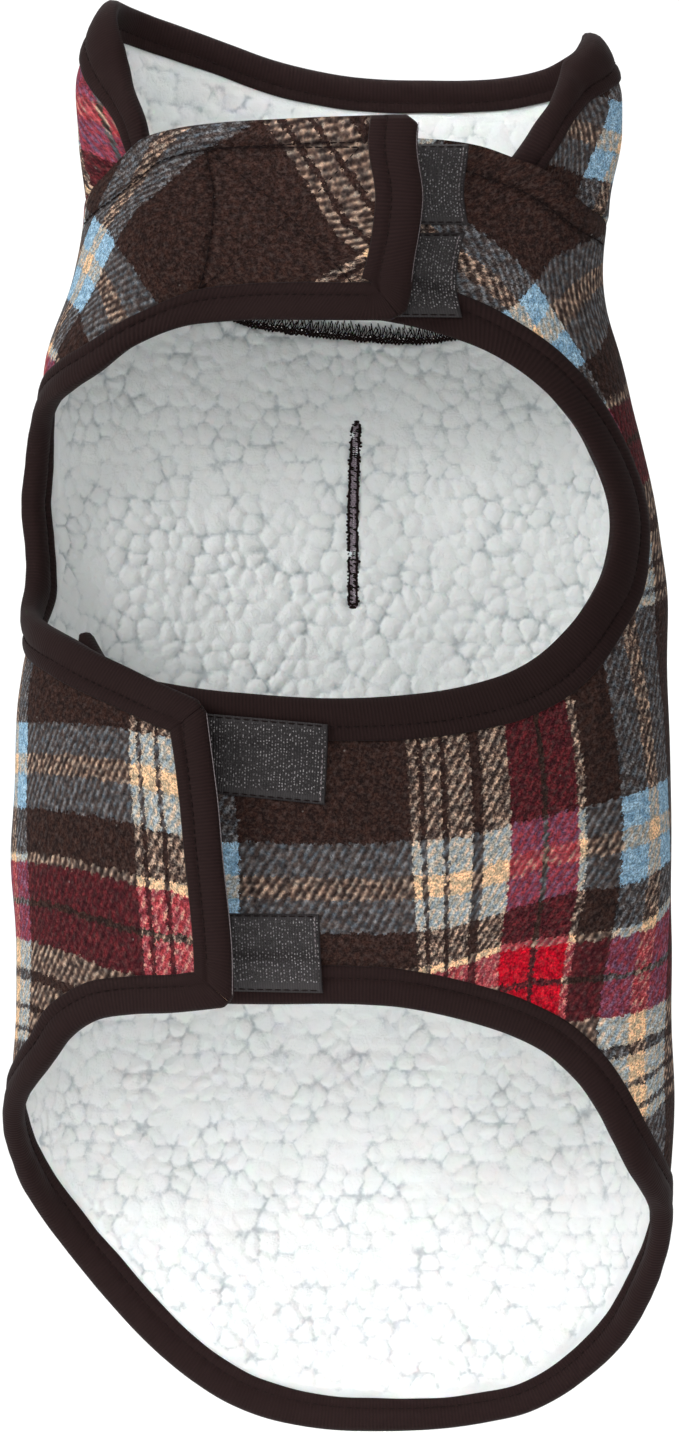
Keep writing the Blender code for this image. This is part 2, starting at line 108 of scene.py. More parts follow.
# The finished edges of the body, over its binding, clockwise from the left end of the neck seam, mm
NECK = {
    "across": (-98, -80, -62, -46, -30, -11, 3, 17, 30, 42, 60, 80, 98),
    "up": (58.5, 50, 39, 29, 21.8, 18.6, 17.1, 15.8, 15.9, 18, 26.6, 40, 52.3),
}
RIGHT_STRAP_TOP = {
    "across": (98, 116, 124, 136, 149, 163, 180, 205, 236),
    "up": (52.3, 56.5, 61, 68, 72.4, 76.4, 77.9, 80, 81),
}
RIGHT_STRAP_END = {
    "across": (236, 234, 241),
    "up": (81, 52, 23.6),
}
RIGHT_LEG = {
    "across": (241, 215, 195, 180.6, 169.8, 161.4, 155.4, 151.6, 150, 149.6, 150.6, 153.8, 158.1,
            164.4, 172.9, 184.4, 201, 226, 247, 272, 294, 316, 335),
    "up": (23.6, 23.2, 22.2, 18.9, 14.7, 9.4, 2.6, -5.4, -15.6, -28, -39.4, -52.6, -60.8, -69, -78,
            -86, -91.9, -95.7, -96.5, -95, -92.5, -87, -73.5),
}
RIGHT_FLAP_END = {
    "across": (335, 333),
    "up": (-73.5, -188),
}
HEM = {
    "across": (333, 300, 270, 248, 229, 209.4, 193.8, 182.4, 173, 163.8, 157.8, 151, 141.6, 130.4,
            121, 110.5, 103, 96, 87, 77, 64, 45, 17, -11, -30, -44, -63, -77, -91.5, -103, -115.4,
            -128.3, -140.3, -149.3, -158.3, -169.5, -190, -212),
    "up": (-188, -190.7, -191.4, -191.3, -192.3, -196.3, -201.3, -207.3, -216.2, -229.2, -238.2,
            -245.3, -251.5, -257.8, -267, -278, -286, -294, -302.3, -310.5, -318.3, -323, -325.2,
            -323.4, -318, -309.8, -293.3, -277.7, -262.1, -250.4, -237, -225.3, -217.2, -210.2,
            -201.2, -195.8, -194.2, -192),
}
LEFT_FLAP_END = {
    "across": (-212, -210.5, -207.5, -202),
    "up": (-192, -159, -125, -98),
}
LEFT_LEG = {
    "across": (-202, -187, -175, -162, -148, -131, -115, -106.5, -104.8, -105.5, -107, -113, -126,
            -139, -146, -152, -160, -173, -200, -227),
    "up": (-98, -92.2, -87.3, -82.2, -76.7, -71.8, -66.5, -58.5, -48, -36, -22, -11, -3, 3.5, 10,
            15.7, 19.2, 20.9, 21.2, 21),
}
LEFT_STRAP_END = {
    "across": (-227, -219, -218, -222.5),
    "up": (21, 41, 60, 85),
}
LEFT_STRAP_TOP = {
    "across": (-222.5, -199, -178, -159, -149, -138, -126, -112, -98),
    "up": (85, 84.7, 83.8, 82.7, 81.4, 79, 71.8, 64, 58.5),
}

# The finished edges of the collar, clockwise from the bottom of its left front, and how far its
# seam lies above the neck's, mm
COLLAR_LEFT_FRONT = {
    "across": (-136.5, -136, -127.5, -111, -97, -90),
    "up": (67, 80, 93, 107.5, 118.5, 120.5),
}
COLLAR_TOP = {
    "across": (-90, -75, -63, -43, -22, 0, 26.5, 48, 61, 70, 80, 91),
    "up": (120.5, 119.7, 117, 110.3, 102.5, 97.7, 96.5, 97.2, 99.7, 103, 107, 111),
}
COLLAR_RIGHT_FRONT = {
    "across": (91, 101, 110, 130, 141, 147.5, 149),
    "up": (111, 108.5, 105, 96, 83, 72.5, 66),
}
COLLAR_SEAM_RIGHT = {
    "across": (149, 135, 124, 113, 98),
    "up": (66, 64.5, 62, 56.6, 52.7),
}
COLLAR_SEAM_LEFT = {
    "across": (-98, -111, -124, -136.5),
    "up": (58.9, 64.8, 71.8, 67),
}
COLLAR_SEAM_RISE = 0.4

# The leash slot: its ends, how wide it lies open and how far it bows, mm
SLOT = {
    "across": (6.7, 3.2),
    "up": (-10.5, -67.5),
}
SLOT_WIDTH = 0.5
SLOT_BOW = 1.0
SLOT_PIECES = 24
# Its threads on each face: their distance out, the zigzag's bars, the knots and the purl beside
# them, and the bars across its ends, mm
SLOT_OUT = 0.2
SLOT_INNER_OUT = -CLOTH + 0.15
BAR_STEP = 0.62
BAR_AWAY = 0.6
BAR_HALF = 0.66
BAR_RADIUS = 0.28
KNOT_STEP = 1.1
KNOT_AWAY = 1.32
KNOT_RADIUS = 0.57
PURL_AWAY = 1.22
PURL_RADIUS = 0.46
END_BAR_HALF = 1.3
END_BAR_RADIUS = 0.34

# Hook tape on the right strap and flap: top right, top left, bottom left and bottom right corners,
# mm. The box stitching and the loop patch on the left strap have theirs in the same order.
HOOK_TAPES = {
    "chest_hook_upper": {"across": (163, 218, 213, 157), "up": (76, 76, 51, 51)},
    "chest_hook_lower": {"across": (158, 212, 221, 167), "up": (48.5, 48.5, 22.5, 22)},
    "belly_hook_upper": {"across": (249, 299, 301.5, 251.5), "up": (-104.5, -100, -124.5, -129.5)},
    "belly_hook_lower": {"across": (253.5, 303.5, 302.5, 252.5), "up": (-163.5, -163, -187, -188)},
}
BOX_STITCHES = {"across": (-155, -203, -206, -157), "up": (75, 75, 31, 31)}
LOOP_PATCH = {"across": (-154, -198, -201, -157), "up": (73, 73, 35, 35)}
BOX_BOW = 2.5
BOX_POINTS = 24

# Tapes, mm: the gap under them, the step up over a binding and how far it takes, their thickness,
# how far out the patch lies, and the points of their grids
TAPE_GAP = 0.15
TAPE_STEP = 1.9
TAPE_STEP_OFF = 5.0
TAPE_THICK = 0.75
PATCH_THICK = 1.1
PATCH_OUT = -CLOTH - SEAM_GAP - 1.6
TAPE_GRID = (64, 34)
PATCH_GRID = (44, 38)
# Their stitches: how far in they run, as a share of the way to the middle, and how far out, mm
TAPE_STITCH_INSET = 0.06
TAPE_STITCH_OUT = 0.85

# One hook, from its foot to its cut end: how far it leans and stands out, mm, and how pale it is,
# paler nylon with painted highlight toward its cut end; and how far in from a tape's ends and
# sides the first hooks stand, mm
HOOK = {"reach": (0.0, 0.12, 0.36, 0.44), "height": (0.5, 1.25, 1.5, 1.1),
        "pale": (0.15, 0.7, 1.0, 0.9)}
HOOK_RADIUS = 0.19
HOOK_SIDES = 4
HOOKS_IN_U = 0.8
HOOKS_IN_V = 2.0

# The largest soft folds, as they are in the model: a ridge (height over 0) or trough, mm, degrees
FOLDS = {
    "across": (112, 128, 96, -96, -120, -88, 60, -52, 8, 112, -97, 90),
    "up": (28, -62, -118, 12, -150, -182, -230, -262, -150, -196, -104, -300),
    "angle": (68, 28, 75, 105, 20, 165, 100, 60, 85, 12, 30, 60),
    "length": (58, 52, 90, 50, 60, 46, 90, 84, 120, 66, 44, 40),
    "width": (17, 17, 18, 16, 17, 16, 19, 18, 20, 16, 16, 16),
    "height": (-1.4, 1.5, -1.3, 1.3, 1.2, -1.1, 1.6, -1.3, -1.2, -1.3, -1.3, 1.1),
}

# Smaller creases that the model leaves out
CREASES = {
    "across": (150, 176, 205, 236, 168, 190, 226, 160, 262, 139, -150, -176, -160, -190, -140, -128,
            -185, -120, 104, 122, 30, -34, 72, -70, 14, -20, 48, -90, 84, -8),
    "up": (62, 44, 66, -118, -112, -150, -168, -178, -140, -98, -112, -130, -168, -176, 52, 66, 60,
            26, 8, -150, -100, -60, -170, -140, -240, -280, -30, -230, -240, 0),
    "angle": (35, 60, 100, 80, 120, 20, 60, 140, 95, 70, 100, 70, 30, 120, 45, 130, 20, 80, 75, 100,
            80, 95, 70, 110, 60, 120, 30, 75, 105, 15),
    "length": (30, 34, 26, 46, 40, 52, 44, 34, 50, 36, 44, 40, 46, 30, 34, 24, 40, 36, 44, 50, 70,
            80, 60, 64, 70, 60, 44, 50, 46, 60),
    "width": (6, 7, 6, 8, 7, 8, 8, 6, 9, 7, 7, 7, 8, 6, 6, 5, 7, 6, 7, 8, 9, 9, 8, 9, 9, 8, 7, 7, 8,
            7),
    "height": (-0.6, 0.5, -0.5, -0.7, 0.6, -0.6, 0.6, -0.6, -0.5, 0.6, -0.6, 0.6, -0.5, -0.6, -0.6,
            0.5, -0.5, -0.7, 0.6, -0.6, 0.6, -0.6, 0.7, -0.6, 0.6, -0.6, -0.5, 0.6, -0.6, 0.5),
}

# How far the cloth is pulled in beside its bindings and at its sewn lines, and how far that
# reaches, and how far it drops over a folded edge, mm
BINDING_PULL = 0.45
BINDING_PULL_WIDTH = 6.0
SEWN_PULL = 0.8
SEWN_WIDTH = 1.2
FOLD_DROP = 1.1
FOLD_REACH = 2.6

# The diagonals of the box stitching pull the cloth in less than other sewn lines, by this share
SLACK = {"box 2": 0.5, "box 3": 0.3}

# Where each line of the check's warp lies on the cut: mm along one repeat after another
WARP_LINES = {
    "across": (225, 224.4, 222.4, 194.2, 193.1, 195, 197, 174, 172, 173, 179, 159.5, 157.4, 158.5,
            166.5, 149.6, 145.6, 147.2, 156, 279.3, 278.4, 131.5, 130.3, 148.5, 157.6, 146.7, 138.2,
            135.7, 134.7, 158, 151, 146, 145, 159.7, 150.8, -178.4, -181.2, -182.6, -184, -185.2,
            -190.3, -194.5, -199.3, -138.7, -141, -141, -123.6, -129.8, -147.7, -168.2, -145, -127,
            -124.7, -196, -203.7, -120.5, 0, 0, 0, 60, -60, 100, -100),
    "up": (-107, -139, -181, -102, -128, -161, -175, -94, -132, -159, -195, -81, -128, -154, -197.5,
            -94, -128, -154, -200, -128, -160, -128, -153, -73.4, 52, 44, 32.7, 18.4, 8.4, 42.3,
            36.7, 27, 19.6, 35, 24, -100, -128, -153, -178, -103, -145, -109, -150, -106, -144,
            -169, 45, 56.4, 69.6, 80.8, 80, 61.7, 69, 36, 42, 28, 20, -120, -300, -200, -200, -290,
            -290),
    "thread": (89.4, 89.4, 89.4, 59.4, 59.4, 59.4, 59.4, 38.2, 38.2, 38.2, 38.2, 25, 25, 25, 25,
            15.6, 15.6, 15.6, 15.6, 142.8, 142.8, 0, 0, 12.5, 0, 0, 0, 0, 0, 9.4, 9.4, 9.4, 9.4,
            15.6, 15.6, -339, -339, -339, -339, -347.1, -347.1, -356.5, -356.5, -285.6, -285.6,
            -285.6, -285.6, -285.6, -285.6, -285.6, -273, -273, -260.6, -339, -339, -285.6, -138.6,
            -138.6, -138.6, -75, -202, -33, -244),
}

# Where each line of the check's weft lies on the cut
WEFT_LINES = {
    "across": (275, 247, 228, 206, 190.6, 171.4, 153.7, 141.5, 131, 275, 247, 206, 190.6, 171.7,
            154, 139, 247, 222, 197, 171.6, 145, 130, 166, 155, 128, 146, 137, 135, 121, 116, 125,
            146, 138, 130, 122, 98, 145, 136.6, 124, 99, 135.7, 122.6, 100, 134.7, 116.5, 103, -135,
            -168, -182, -197, -134, -170, -196, -135, -156, -170, -183, -198, -133, -154, -169,
            -182, -140, -123.6, -120.7, -130, -137.5, -120.3, -122.4, -106.5, -110, -177, -184,
            -189, -203.7, -188.7, -194.6, -200, 0, 0, 0, 0, 60, -60, 60, -60),
    "up": (-141, -142, -141, -139, -135, -130.6, -126, -123.4, -121, -169, -169.4, -166, -161, -156,
            -154, -149, -183, -182, -175, -172, -167, -160, -195.6, -194.4, -187.5, -225, -220, -66,
            -27, -2, -15, 27, 33, 41, 44, 48, 19.6, 26, 33, 40, 18.4, 25.6, 32.5, 8.4, 17, 22.5,
            -104, -105, -107, -110.6, -130, -133, -139, -147, -148, -151, -154.4, -157, -171, -174,
            -179, -182.5, -203, 45, 48, 40, 33.4, 38.3, 22.5, 12, -1.6, 81, 64, 54, 42, 81, 67,
            55.6, 10, -112, -220, -315, 10, 10, -250, -250),
    "thread": (0, 0, 0, 0, 0, 0, 0, 0, 0, 25, 25, 25, 25, 25, 25, 25, 38.2, 38.2, 38.2, 38.2, 38.2,
            38.2, 59.4, 59.4, 59.4, 89.4, 89.4, -53.4, -83.4, -104.6, -94, -142.8, -142.8, -142.8,
            -142.8, -142.8, -133.4, -133.4, -133.4, -133.4, -127.2, -127.2, -127.2, -117.8, -117.8,
            -117.8, 0, 0, 0, 0, 25, 25, 25, 38.2, 38.2, 38.2, 38.2, 38.2, 59.4, 59.4, 59.4, 59.4,
            89.4, -142.8, -142.8, -142.8, -142.8, -133.4, -117.8, -104.6, -94, -196.2, -196.2,
            -196.2, -196.2, -204.3, -204.3, -204.3, -108.6, 0, 96, 181, -112, -107, 120, 125),
}

# The same for the collar, which is cut on another part of the check
COLLAR_WARP = {
    "across": (-136, -126, -120, -112, -99.2, -100, -112, 0, 104, 110, 120, 96, 124, 135),
    "up": (70, 75, 75, 75, 70.3, 88, 88, 60, 85, 70, 75, 64, 88, 74),
    "thread": (203, 197, 192.8, 186.8, 179.8, 183, 191, 92, 4.4, 4.4, -6.1, 19, -13, -23),
}
COLLAR_WEFT = {
    "across": (-112, -112, -112, -100, -120, 0, 0, 104, 110, 111, 116, 120, 98),
    "up": (86, 75, 68.8, 89, 82, 90, 30, 85, 70, 62, 52, 75, 102),
    "thread": (12.5, 22.4, 28, 12.5, 12.5, 8, 66, 4.7, 20.3, 29, 40, 18, -12),
}

# How much the charts are smoothed rather than followed through each row
CHART_STIFFNESS = 4.0

# The check's bands, in mm of one repeat: where each starts, and its colour
REPEAT = 142.8
BANDS = {
    "starts": (0, 9.4, 15.6, 25, 36, 38.2, 47.7, 49.5, 59.4, 67.6, 70.9, 78.6, 80.2, 85.2, 86.5,
            89.4),
    "colour": ("blue", "tan", "blue", "dark", "tan", "red", "dark", "red", "tan", "dark", "tan",
            "dark", "tan", "dark", "tan", "dark"),
}
# How crisply each yarn's tufts stand out from the other's: tan ones most, red ones least
CRISP = {"red": 0.3, "dark": 0.4, "blue": 0.6, "tan": 1.0}

# The twill: how much longer its weft repeat is drawn than its warp's, how steeply its lines lean
# in degrees, how far tufts are drawn out along them, and how far stray fibres are pulled, mm
WEFT_LONGER = 1.18
TWILL_LEAN = 60.0
TUFT_DRAW = 0.78
FIBRE_PULL = 4.6

# Each surface pattern's scale for 1 mm: a noise has spots 1 / scale mm apart, such as tufts 2 mm
# apart, and a wave has lines 0.31 / scale mm apart, such as plies 0.6 mm apart
PER_MM = {"tuft": 0.5, "ragged edge": 0.7, "fuzz": 1.5, "nap": 0.42, "lint": 0.13, "curl": 0.75,
          "cloud": 0.022, "tape rib": 0.32, "tape grain": 1.6, "ply": 0.5, "paper grain": 0.3}

# The body's bindings, clockwise
BINDING_NAMES = ("chest_end_binding_right", "leg_binding_right", "belly_end_binding_right",
                 "hem_binding", "belly_end_binding_left", "leg_binding_left",
                 "chest_end_binding_left")

# Which bindings end free (0 at their start, 1 at their end), and which have a thin pale line
# along their fold
FREE_ENDS = {"chest_end_binding_right": 0, "chest_end_binding_left": 1}
PALE_EDGED = ("belly_end_binding_left", "chest_end_binding_left")

# How much further some bindings reach in than the rest, at even steps along them, mm
BROADER_OUTSIDE = {
    "chest_end_binding_left": (2.0, 2.6),
    "leg_binding_right": (5.0, 0.0),
}
BROADER_INSIDE = {
    "collar_binding": (3.0, 2.8, 1.8, 1.2, 0.4, 1.6, 3.0),
    "leg_binding_left": (0.0, 0.0, 1.4, 1.2, 0.0, 0.0, 0.0),
    "hem_binding": (0.4, 0.4, 0.4, 0.6, -0.2, 1.6, 2.4, 1.0, 0.6),
}

# A binding's cross-section, from its outer lip over the fold to its inner lip and back inside the
# fold: (distance in from the cloth's edge, distance out), mm. It is sewn narrower on the inside.
BINDING_SECTION = ((9.5, 0.05), (9.9, 0.4), (9.5, 0.75), (8.4, 0.98), (7.2, 0.95), (6.5, 0.6),
            (6.0, 0.32), (5.5, 0.6), (4.8, 0.95), (3.4, 1.2), (1.8, 1.25), (0.2, 1.0), (-1.1, 0.45),
            (-1.8, -0.5), (-1.95, -1.9), (-1.8, -3.6), (-1.1, -4.9), (0.2, -5.6), (1.4, -5.8),
            (2.6, -5.7), (3.6, -5.3), (4.2, -4.95), (4.6, -4.75), (5.0, -4.95), (5.8, -5.3),
            (6.7, -5.25), (7.3, -4.95), (7.5, -4.5), (7.1, -4.1), (4.5, -4.15), (0.3, -4.2),
            (-0.6, -3.4), (-0.6, -0.2), (0.3, 0.35), (5.0, 0.3))

# Bindings, mm: their width, how far the cloth's edge lies inside their fold, how far out their
# middle and how far in their fold lies, and the step between their points along them
BINDING_WIDTH = 9.5
BINDING_TAKES = 1.9
BINDING_MIDDLE = -1.9
FOLD_IN = -1.95
BINDING_STEP = 0.9
# Their corners and ends, mm: the gap in a mitre, how far a corner is blunted, how a free end is
# rounded, and how far from it the fold is pressed flat
MITRE_GAP = 0.12
CORNER_BLUNTING = 3.5
END_ROUNDING = 5.5
PRESSED_END = 1.8

# How far in from the edge each seam runs, outside, inside and along the straps' tops, mm
STITCH_IN = 6.0
INNER_STITCH_IN = 4.6
TOPSTITCH_IN = 8.0
SEWN_STEP = 1.5
# How far out they lie on a binding's faces, how far others sink into the cloth, and how thick the
# pale line on a fold is, mm
STITCH_OUT = 0.34
INNER_STITCH_OUT = -4.8
STITCH_SUNK = 0.35
EDGE_LINE_RADIUS = 0.11

# How far in from each cut's edge the pile starts to open beside the binding's inner lip, and how
# far it takes to stand up, mm
INNER_LIP = {"body": 8.2, "collar": 9.2}
PILE_OPENS = 3.0

# A stitch: the gap to the next one, and how far it stands out along its length, mm
STITCH_GAP = 0.5
STITCH_ARCH = (-0.30, 0.05, 0.16, 0.05, -0.30)
# How thin a thread's ends are, as a share of its radius
THREAD_TAPER = 0.35
# The paler shades of the sewing thread
THREAD_SHADES = {"spun, pale": "#8f8688", "spun, grey": "#948690"}

# The overlocked neck seam, mm: how far out it lies, the step of its loops, their middle, and how
# far it stands above the neck's edge; its loops as (shift, reach, radius) and its chains as
# (shift, away, radius)
OVERLOCK_OUT = -CLOTH - 1.4
OVERLOCK_STEP = 2.2
OVERLOCK_MIDDLE = 2.2
OVERLOCK_RISE = -0.5
OVERLOCK_LOOPS = ((0.0, 2.8, 0.2), (1.9, 2.0, 0.17))
OVERLOCK_CHAINS = ((0.0, -0.5, 0.5), (1.3, 0.2, 0.45), (2.6, 0.9, 0.3))

# How far apart the points of each cloth are, as (step, low and high corners of a box), mm. The
# lining is fine where it shows through the leg opening, below the flaps and in the collar.
EVERYWHERE = ((-400, -400), (400, 400))
SHELL_ZONES = ((1.45, *EVERYWHERE),)
HIDDEN_ZONES = ((7.0, *EVERYWHERE),)
LINING_ZONES = (
    (1.0, (-124, -104), (124, 32)), (1.0, (-124, -330), (124, -184)),
    (2.6, (-124, -183), (124, -105)), (1.2, (-124, 33), (124, 130)),
    (2.6, (-400, -330), (-125, 130)), (2.6, (125, -330), (400, 130)),
)
# The least distance from a cloth's rim to its other points, in steps
RIM_GAP = 0.65

# The backdrop, in metres: a floor, a curve and a wall
FLOOR_HEIGHT = -0.42
FLOOR_FRONT = -3.0
FLOOR_BACK = 0.9
FLOOR_HALF = 3.0
BACKDROP_CURVE = 0.7
WALL_TOP = 3.0
WALL_HALF = 1.1

# The lights: name, place, size, power in watts, spread in degrees, and what it is aimed at
LIGHTS = (
    ("key softbox", (-2.15, -1.4, 1.0), 1.0, 42.0, 180, (0, 0, -0.12)),
    ("low softbox", (0.1, -1.3, -0.36), 0.1, 0.07, 17, (0, 0, -0.295)),
    ("collar softbox", (0.0, -1.6, 1.0), 0.1, 0.045, 9, (0, 0, 0.14)),
    ("fill softbox", (0.3, -2.6, 0.9), 1.4, 9.5, 180, (0, 0, -0.12)),
    ("backdrop light", (0.0, 0.5, 1.6), 1.0, 20.0, 180, (0, 1.6, 0.0)),
)
SKY_STRENGTH = 0.34

# The camera: how far away it stands, the point that it faces, the height of its view there and
# how far it sees, in metres, and its sensor's height in mm
CAMERA_AWAY = 14.0
VIEW_X = -0.0039
VIEW_Y = -0.035
VIEW_Z = -0.1019
VIEW_HEIGHT = 0.4463
SENSOR_HEIGHT = 24.0
VIEW_ENDS = 40.0


def linear(code):
    """A colour's linear red, green and blue from its sRGB hex code."""
    values = [int(code[i:i + 2], 16) / 255 for i in (1, 3, 5)]
    return [v / 12.92 if v <= 0.04045 else ((v + 0.055) / 1.055) ** 2.4 for v in values]


class CoatSizes(bpy.types.PropertyGroup):
    """Sizes that a user would change."""

    clump: bpy.props.FloatProperty(
        name="Pile clump", description="Width of one clump of the sherpa's pile",
        default=5.6 * MM, min=3 * MM, max=12 * MM, unit="LENGTH")
    pile: bpy.props.FloatProperty(
        name="Pile height", description="How far the clumps stand above the creases between them",
        default=2.0 * MM, min=0.2 * MM, max=3 * MM, unit="LENGTH")
    twill: bpy.props.FloatProperty(
        name="Twill line", description="Distance between the twill's slanting lines",
        default=2.35 * MM, min=0.5 * MM, max=5 * MM, unit="LENGTH")
    rib: bpy.props.FloatProperty(
        name="Binding rib", description="Spacing of the binding's cross ribs",
        default=1.1 * MM, min=0.4 * MM, max=3 * MM, unit="LENGTH")
    stitch: bpy.props.FloatProperty(
        name="Stitch length", description="Length of one lock stitch",
        default=2.7 * MM, min=1 * MM, max=5 * MM, unit="LENGTH")
    hook: bpy.props.FloatProperty(
        name="Hook spacing", description="Distance between the hook tape's hooks",
        default=0.9 * MM, min=0.6 * MM, max=3 * MM, unit="LENGTH")


class CoatColours(bpy.types.PropertyGroup):
    """Colours that a user would change."""

    dark: bpy.props.FloatVectorProperty(
        name="Dark brown", description="The check's ground", default=linear("#2d201d"),
        subtype="COLOR")
    blue: bpy.props.FloatVectorProperty(
        name="Light blue", description="The check's blue bands", default=linear("#8cb5d2"),
        subtype="COLOR")
    red: bpy.props.FloatVectorProperty(
        name="Red", description="The check's red bands", default=linear("#a80a22"), subtype="COLOR")
    tan: bpy.props.FloatVectorProperty(
        name="Tan", description="The check's tan bands", default=linear("#dcc09d"), subtype="COLOR")
    pile: bpy.props.FloatVectorProperty(
        name="Sherpa", description="Tops of the sherpa's clumps", default=linear("#f5f8f7"),
        subtype="COLOR")
    # Painted shade: the creases between the sherpa's clumps are coloured darker and blue-grey
    shaded_crease: bpy.props.FloatVectorProperty(
        name="Sherpa crease", description="Between the sherpa's clumps", default=linear("#c4cbcd"),
        subtype="COLOR")
    binding: bpy.props.FloatVectorProperty(
        name="Binding", description="The ribbed binding", default=linear("#231514"),
        subtype="COLOR")
    tape: bpy.props.FloatVectorProperty(
        name="Hook tape", description="The hook tape's ground", default=linear("#252021"),
        subtype="COLOR")
    # The hooks' colour, mixed in toward their cut ends: paler nylon, brightened by painted
    # highlight
    hook: bpy.props.FloatVectorProperty(
        name="Hooks", description="The hook tape's hooks", default=linear("#d6d1d2"),
        subtype="COLOR")
    thread: bpy.props.FloatVectorProperty(
        name="Thread", description="The sewing thread", default=linear("#1d1413"), subtype="COLOR")


# ------------------------------------------------------------------------------------------------
# The flat pattern


def columns(table, *names):
    """The named columns of a table, as arrays."""
    return [np.array(table[name], float) for name in names]


def points_of(table):
    """A table's places on the pattern, one to a row."""
    return np.stack(columns(table, "across", "up"), axis=1)


def unit(steps):
    """Steps in the same directions, of length 1."""
    return steps / np.linalg.norm(steps, axis=-1, keepdims=True)


def turned_in(steps):
    """Steps turned clockwise by a quarter: inward, for steps that run clockwise round a cut."""
    return np.stack([steps[..., 1], -steps[..., 0]], axis=-1)


def on_curve(t, run, start, end, start_slope, end_slope):
    """The point t of the way along a smooth curve between two rows of a table."""
    from_start = (2 * t**3 - 3 * t**2 + 1) * start + (t**3 - 2 * t**2 + t) * run * start_slope
    from_end = (3 * t**2 - 2 * t**3) * end + (t**3 - t**2) * run * end_slope
    return from_start + from_end


def smooth_column(table, name, up):
    """A column of a table at any height, on a smooth curve through its rows."""
    heights, values = columns(table, "up", name)
    up = np.clip(up, heights[0], heights[-1])
    slope = np.gradient(values, heights)
    row = np.clip(np.searchsorted(heights, up) - 1, 0, len(heights) - 2)
    run = heights[row + 1] - heights[row]
    t = (up - heights[row]) / run
    return on_curve(t, run, values[row], values[row + 1], slope[row], slope[row + 1])


def places_along(rows):
    """The distance along a run of points at each of them."""
    return np.concatenate([[0], np.cumsum(np.linalg.norm(np.diff(rows, axis=0), axis=1))])


def through(rows, places, at):
    """Points on a smooth curve through rows that lie at the given places along it."""
    slope = np.gradient(rows, places, axis=0)
    i = np.clip(np.searchsorted(places, at, side="right") - 1, 0, len(rows) - 2)
    run = (places[i + 1] - places[i])[:, None]
    t = (at - places[i])[:, None] / run
    return on_curve(t, run, rows[i], rows[i + 1], slope[i], slope[i + 1])


def straight_through(rows, places, at):
    """Points on the straight steps between rows, at the given places along them."""
    return np.stack([np.interp(at, places, rows[:, k]) for k in (0, 1)], axis=-1)


def straight(start, end, count):
    """Points on a straight line between two others."""
    share = np.linspace(0, 1, count)[:, None]
    return start * (1 - share) + end * share


def between_corners(corners, u, v):
    """Points at the places u and v, from 0 to 1, along and down a patch with four corners."""
    u = u[:, None]
    v = v[:, None]
    top = corners[0] * (1 - u) + corners[1] * u
    bottom = corners[3] * (1 - u) + corners[2] * u
    return top * (1 - v) + bottom * v


def evenly(length, step):
    """Places from 0 to a length, about a step apart."""
    return np.linspace(0, length, max(2, round(length / step) + 1))


def ease(t):
    """0 below 0, 1 above 1 and a smooth step between them."""
    t = np.clip(t, 0.0, 1.0)
    return t * t * (3 - 2 * t)


def waver(across, up, size, seed):
    """Slow, uneven waves between about -1 and 1, the same each run."""
    total = np.zeros_like(across)
    for k in range(5):
        angle = 2.4 * k + seed
        run = across * math.cos(angle) + up * math.sin(angle)
        total += np.sin(run * 2 * math.pi / (size * (0.7 + 0.23 * k)) + 1.7 * k * seed)
    return total / 3.5


def scatter(i, j, seed):
    """A repeatable number from 0 to 1 for each pair of whole numbers."""
    mixed = np.sin(i * 127.1 + j * 311.7 + seed * 74.7) * 43758.5453
    return mixed - np.floor(mixed)


def inside(outline, points):
    """Which points lie inside a closed outline."""
    found = np.zeros(len(points), bool)
    x = points[:, 0]
    y = points[:, 1]
    for (x0, y0), (x1, y1) in zip(outline, np.roll(outline, -1, axis=0)):
        crosses = (y0 > y) != (y1 > y)
        if crosses.any():
            found ^= crosses & (x < (x1 - x0) * (y - y0) / (y1 - y0 + 1e-12) + x0)
    return found


def distance_to(line, points, closed=False):
    """How far each point is from a line, or from a closed outline."""
    nearest = np.full(len(points), np.inf)
    ends = np.roll(line, -1, axis=0) if closed else line[1:]
    for start, end in zip(line, ends):
        side = end - start
        share = ((points - start) @ side / (side @ side)).clip(0, 1)
        away = np.linalg.norm(points - start - share[:, None] * side, axis=1)
        nearest = np.minimum(nearest, away)
    return nearest


# ------------------------------------------------------------------------------------------------
# The cuts


def edge_points(table):
    """Evenly spaced points on a smooth curve through an edge's rows, with longer end steps."""
    rows = points_of(table)
    places = places_along(rows)
    turns = np.arange((len(rows) - 1) * CURVE_STEPS + 1) / CURVE_STEPS
    fine = through(rows, places, np.interp(turns, np.arange(len(rows)), places))
    run = places_along(fine)
    pieces = max(1, round((run[-1] - 2 * CORNER_STEP) / EDGE_STEP))
    between = np.linspace(CORNER_STEP, run[-1] - CORNER_STEP, pieces + 1)
    return straight_through(fine, run, np.concatenate([[0], between, [run[-1]]]))


def inward_mitres(outline):
    """At each point of a clockwise outline, the step that moves both its sides inward by 1 mm."""
    normal = turned_in(unit(np.roll(outline, -1, axis=0) - outline))
    before = np.roll(normal, 1, axis=0)
    both = normal + before
    return both / (1 + np.sum(normal * before, axis=1, keepdims=True)).clip(MITRE_LIMIT)


def under_binding(outline, first, last):
    """The outline with its bound stretch moved in to lie in the binding's fold."""
    step = inward_mitres(outline)
    size = len(outline)
    for end, way in ((first, 1), (last, -1)):
        along = outline[(end + way) % size] - outline[end % size]
        step[end % size] = way * unit(turned_in(along))
    moved = outline.copy()
    for i in range(first, last + 1):
        moved[i % size] += BINDING_TAKES * step[i % size]
    return moved


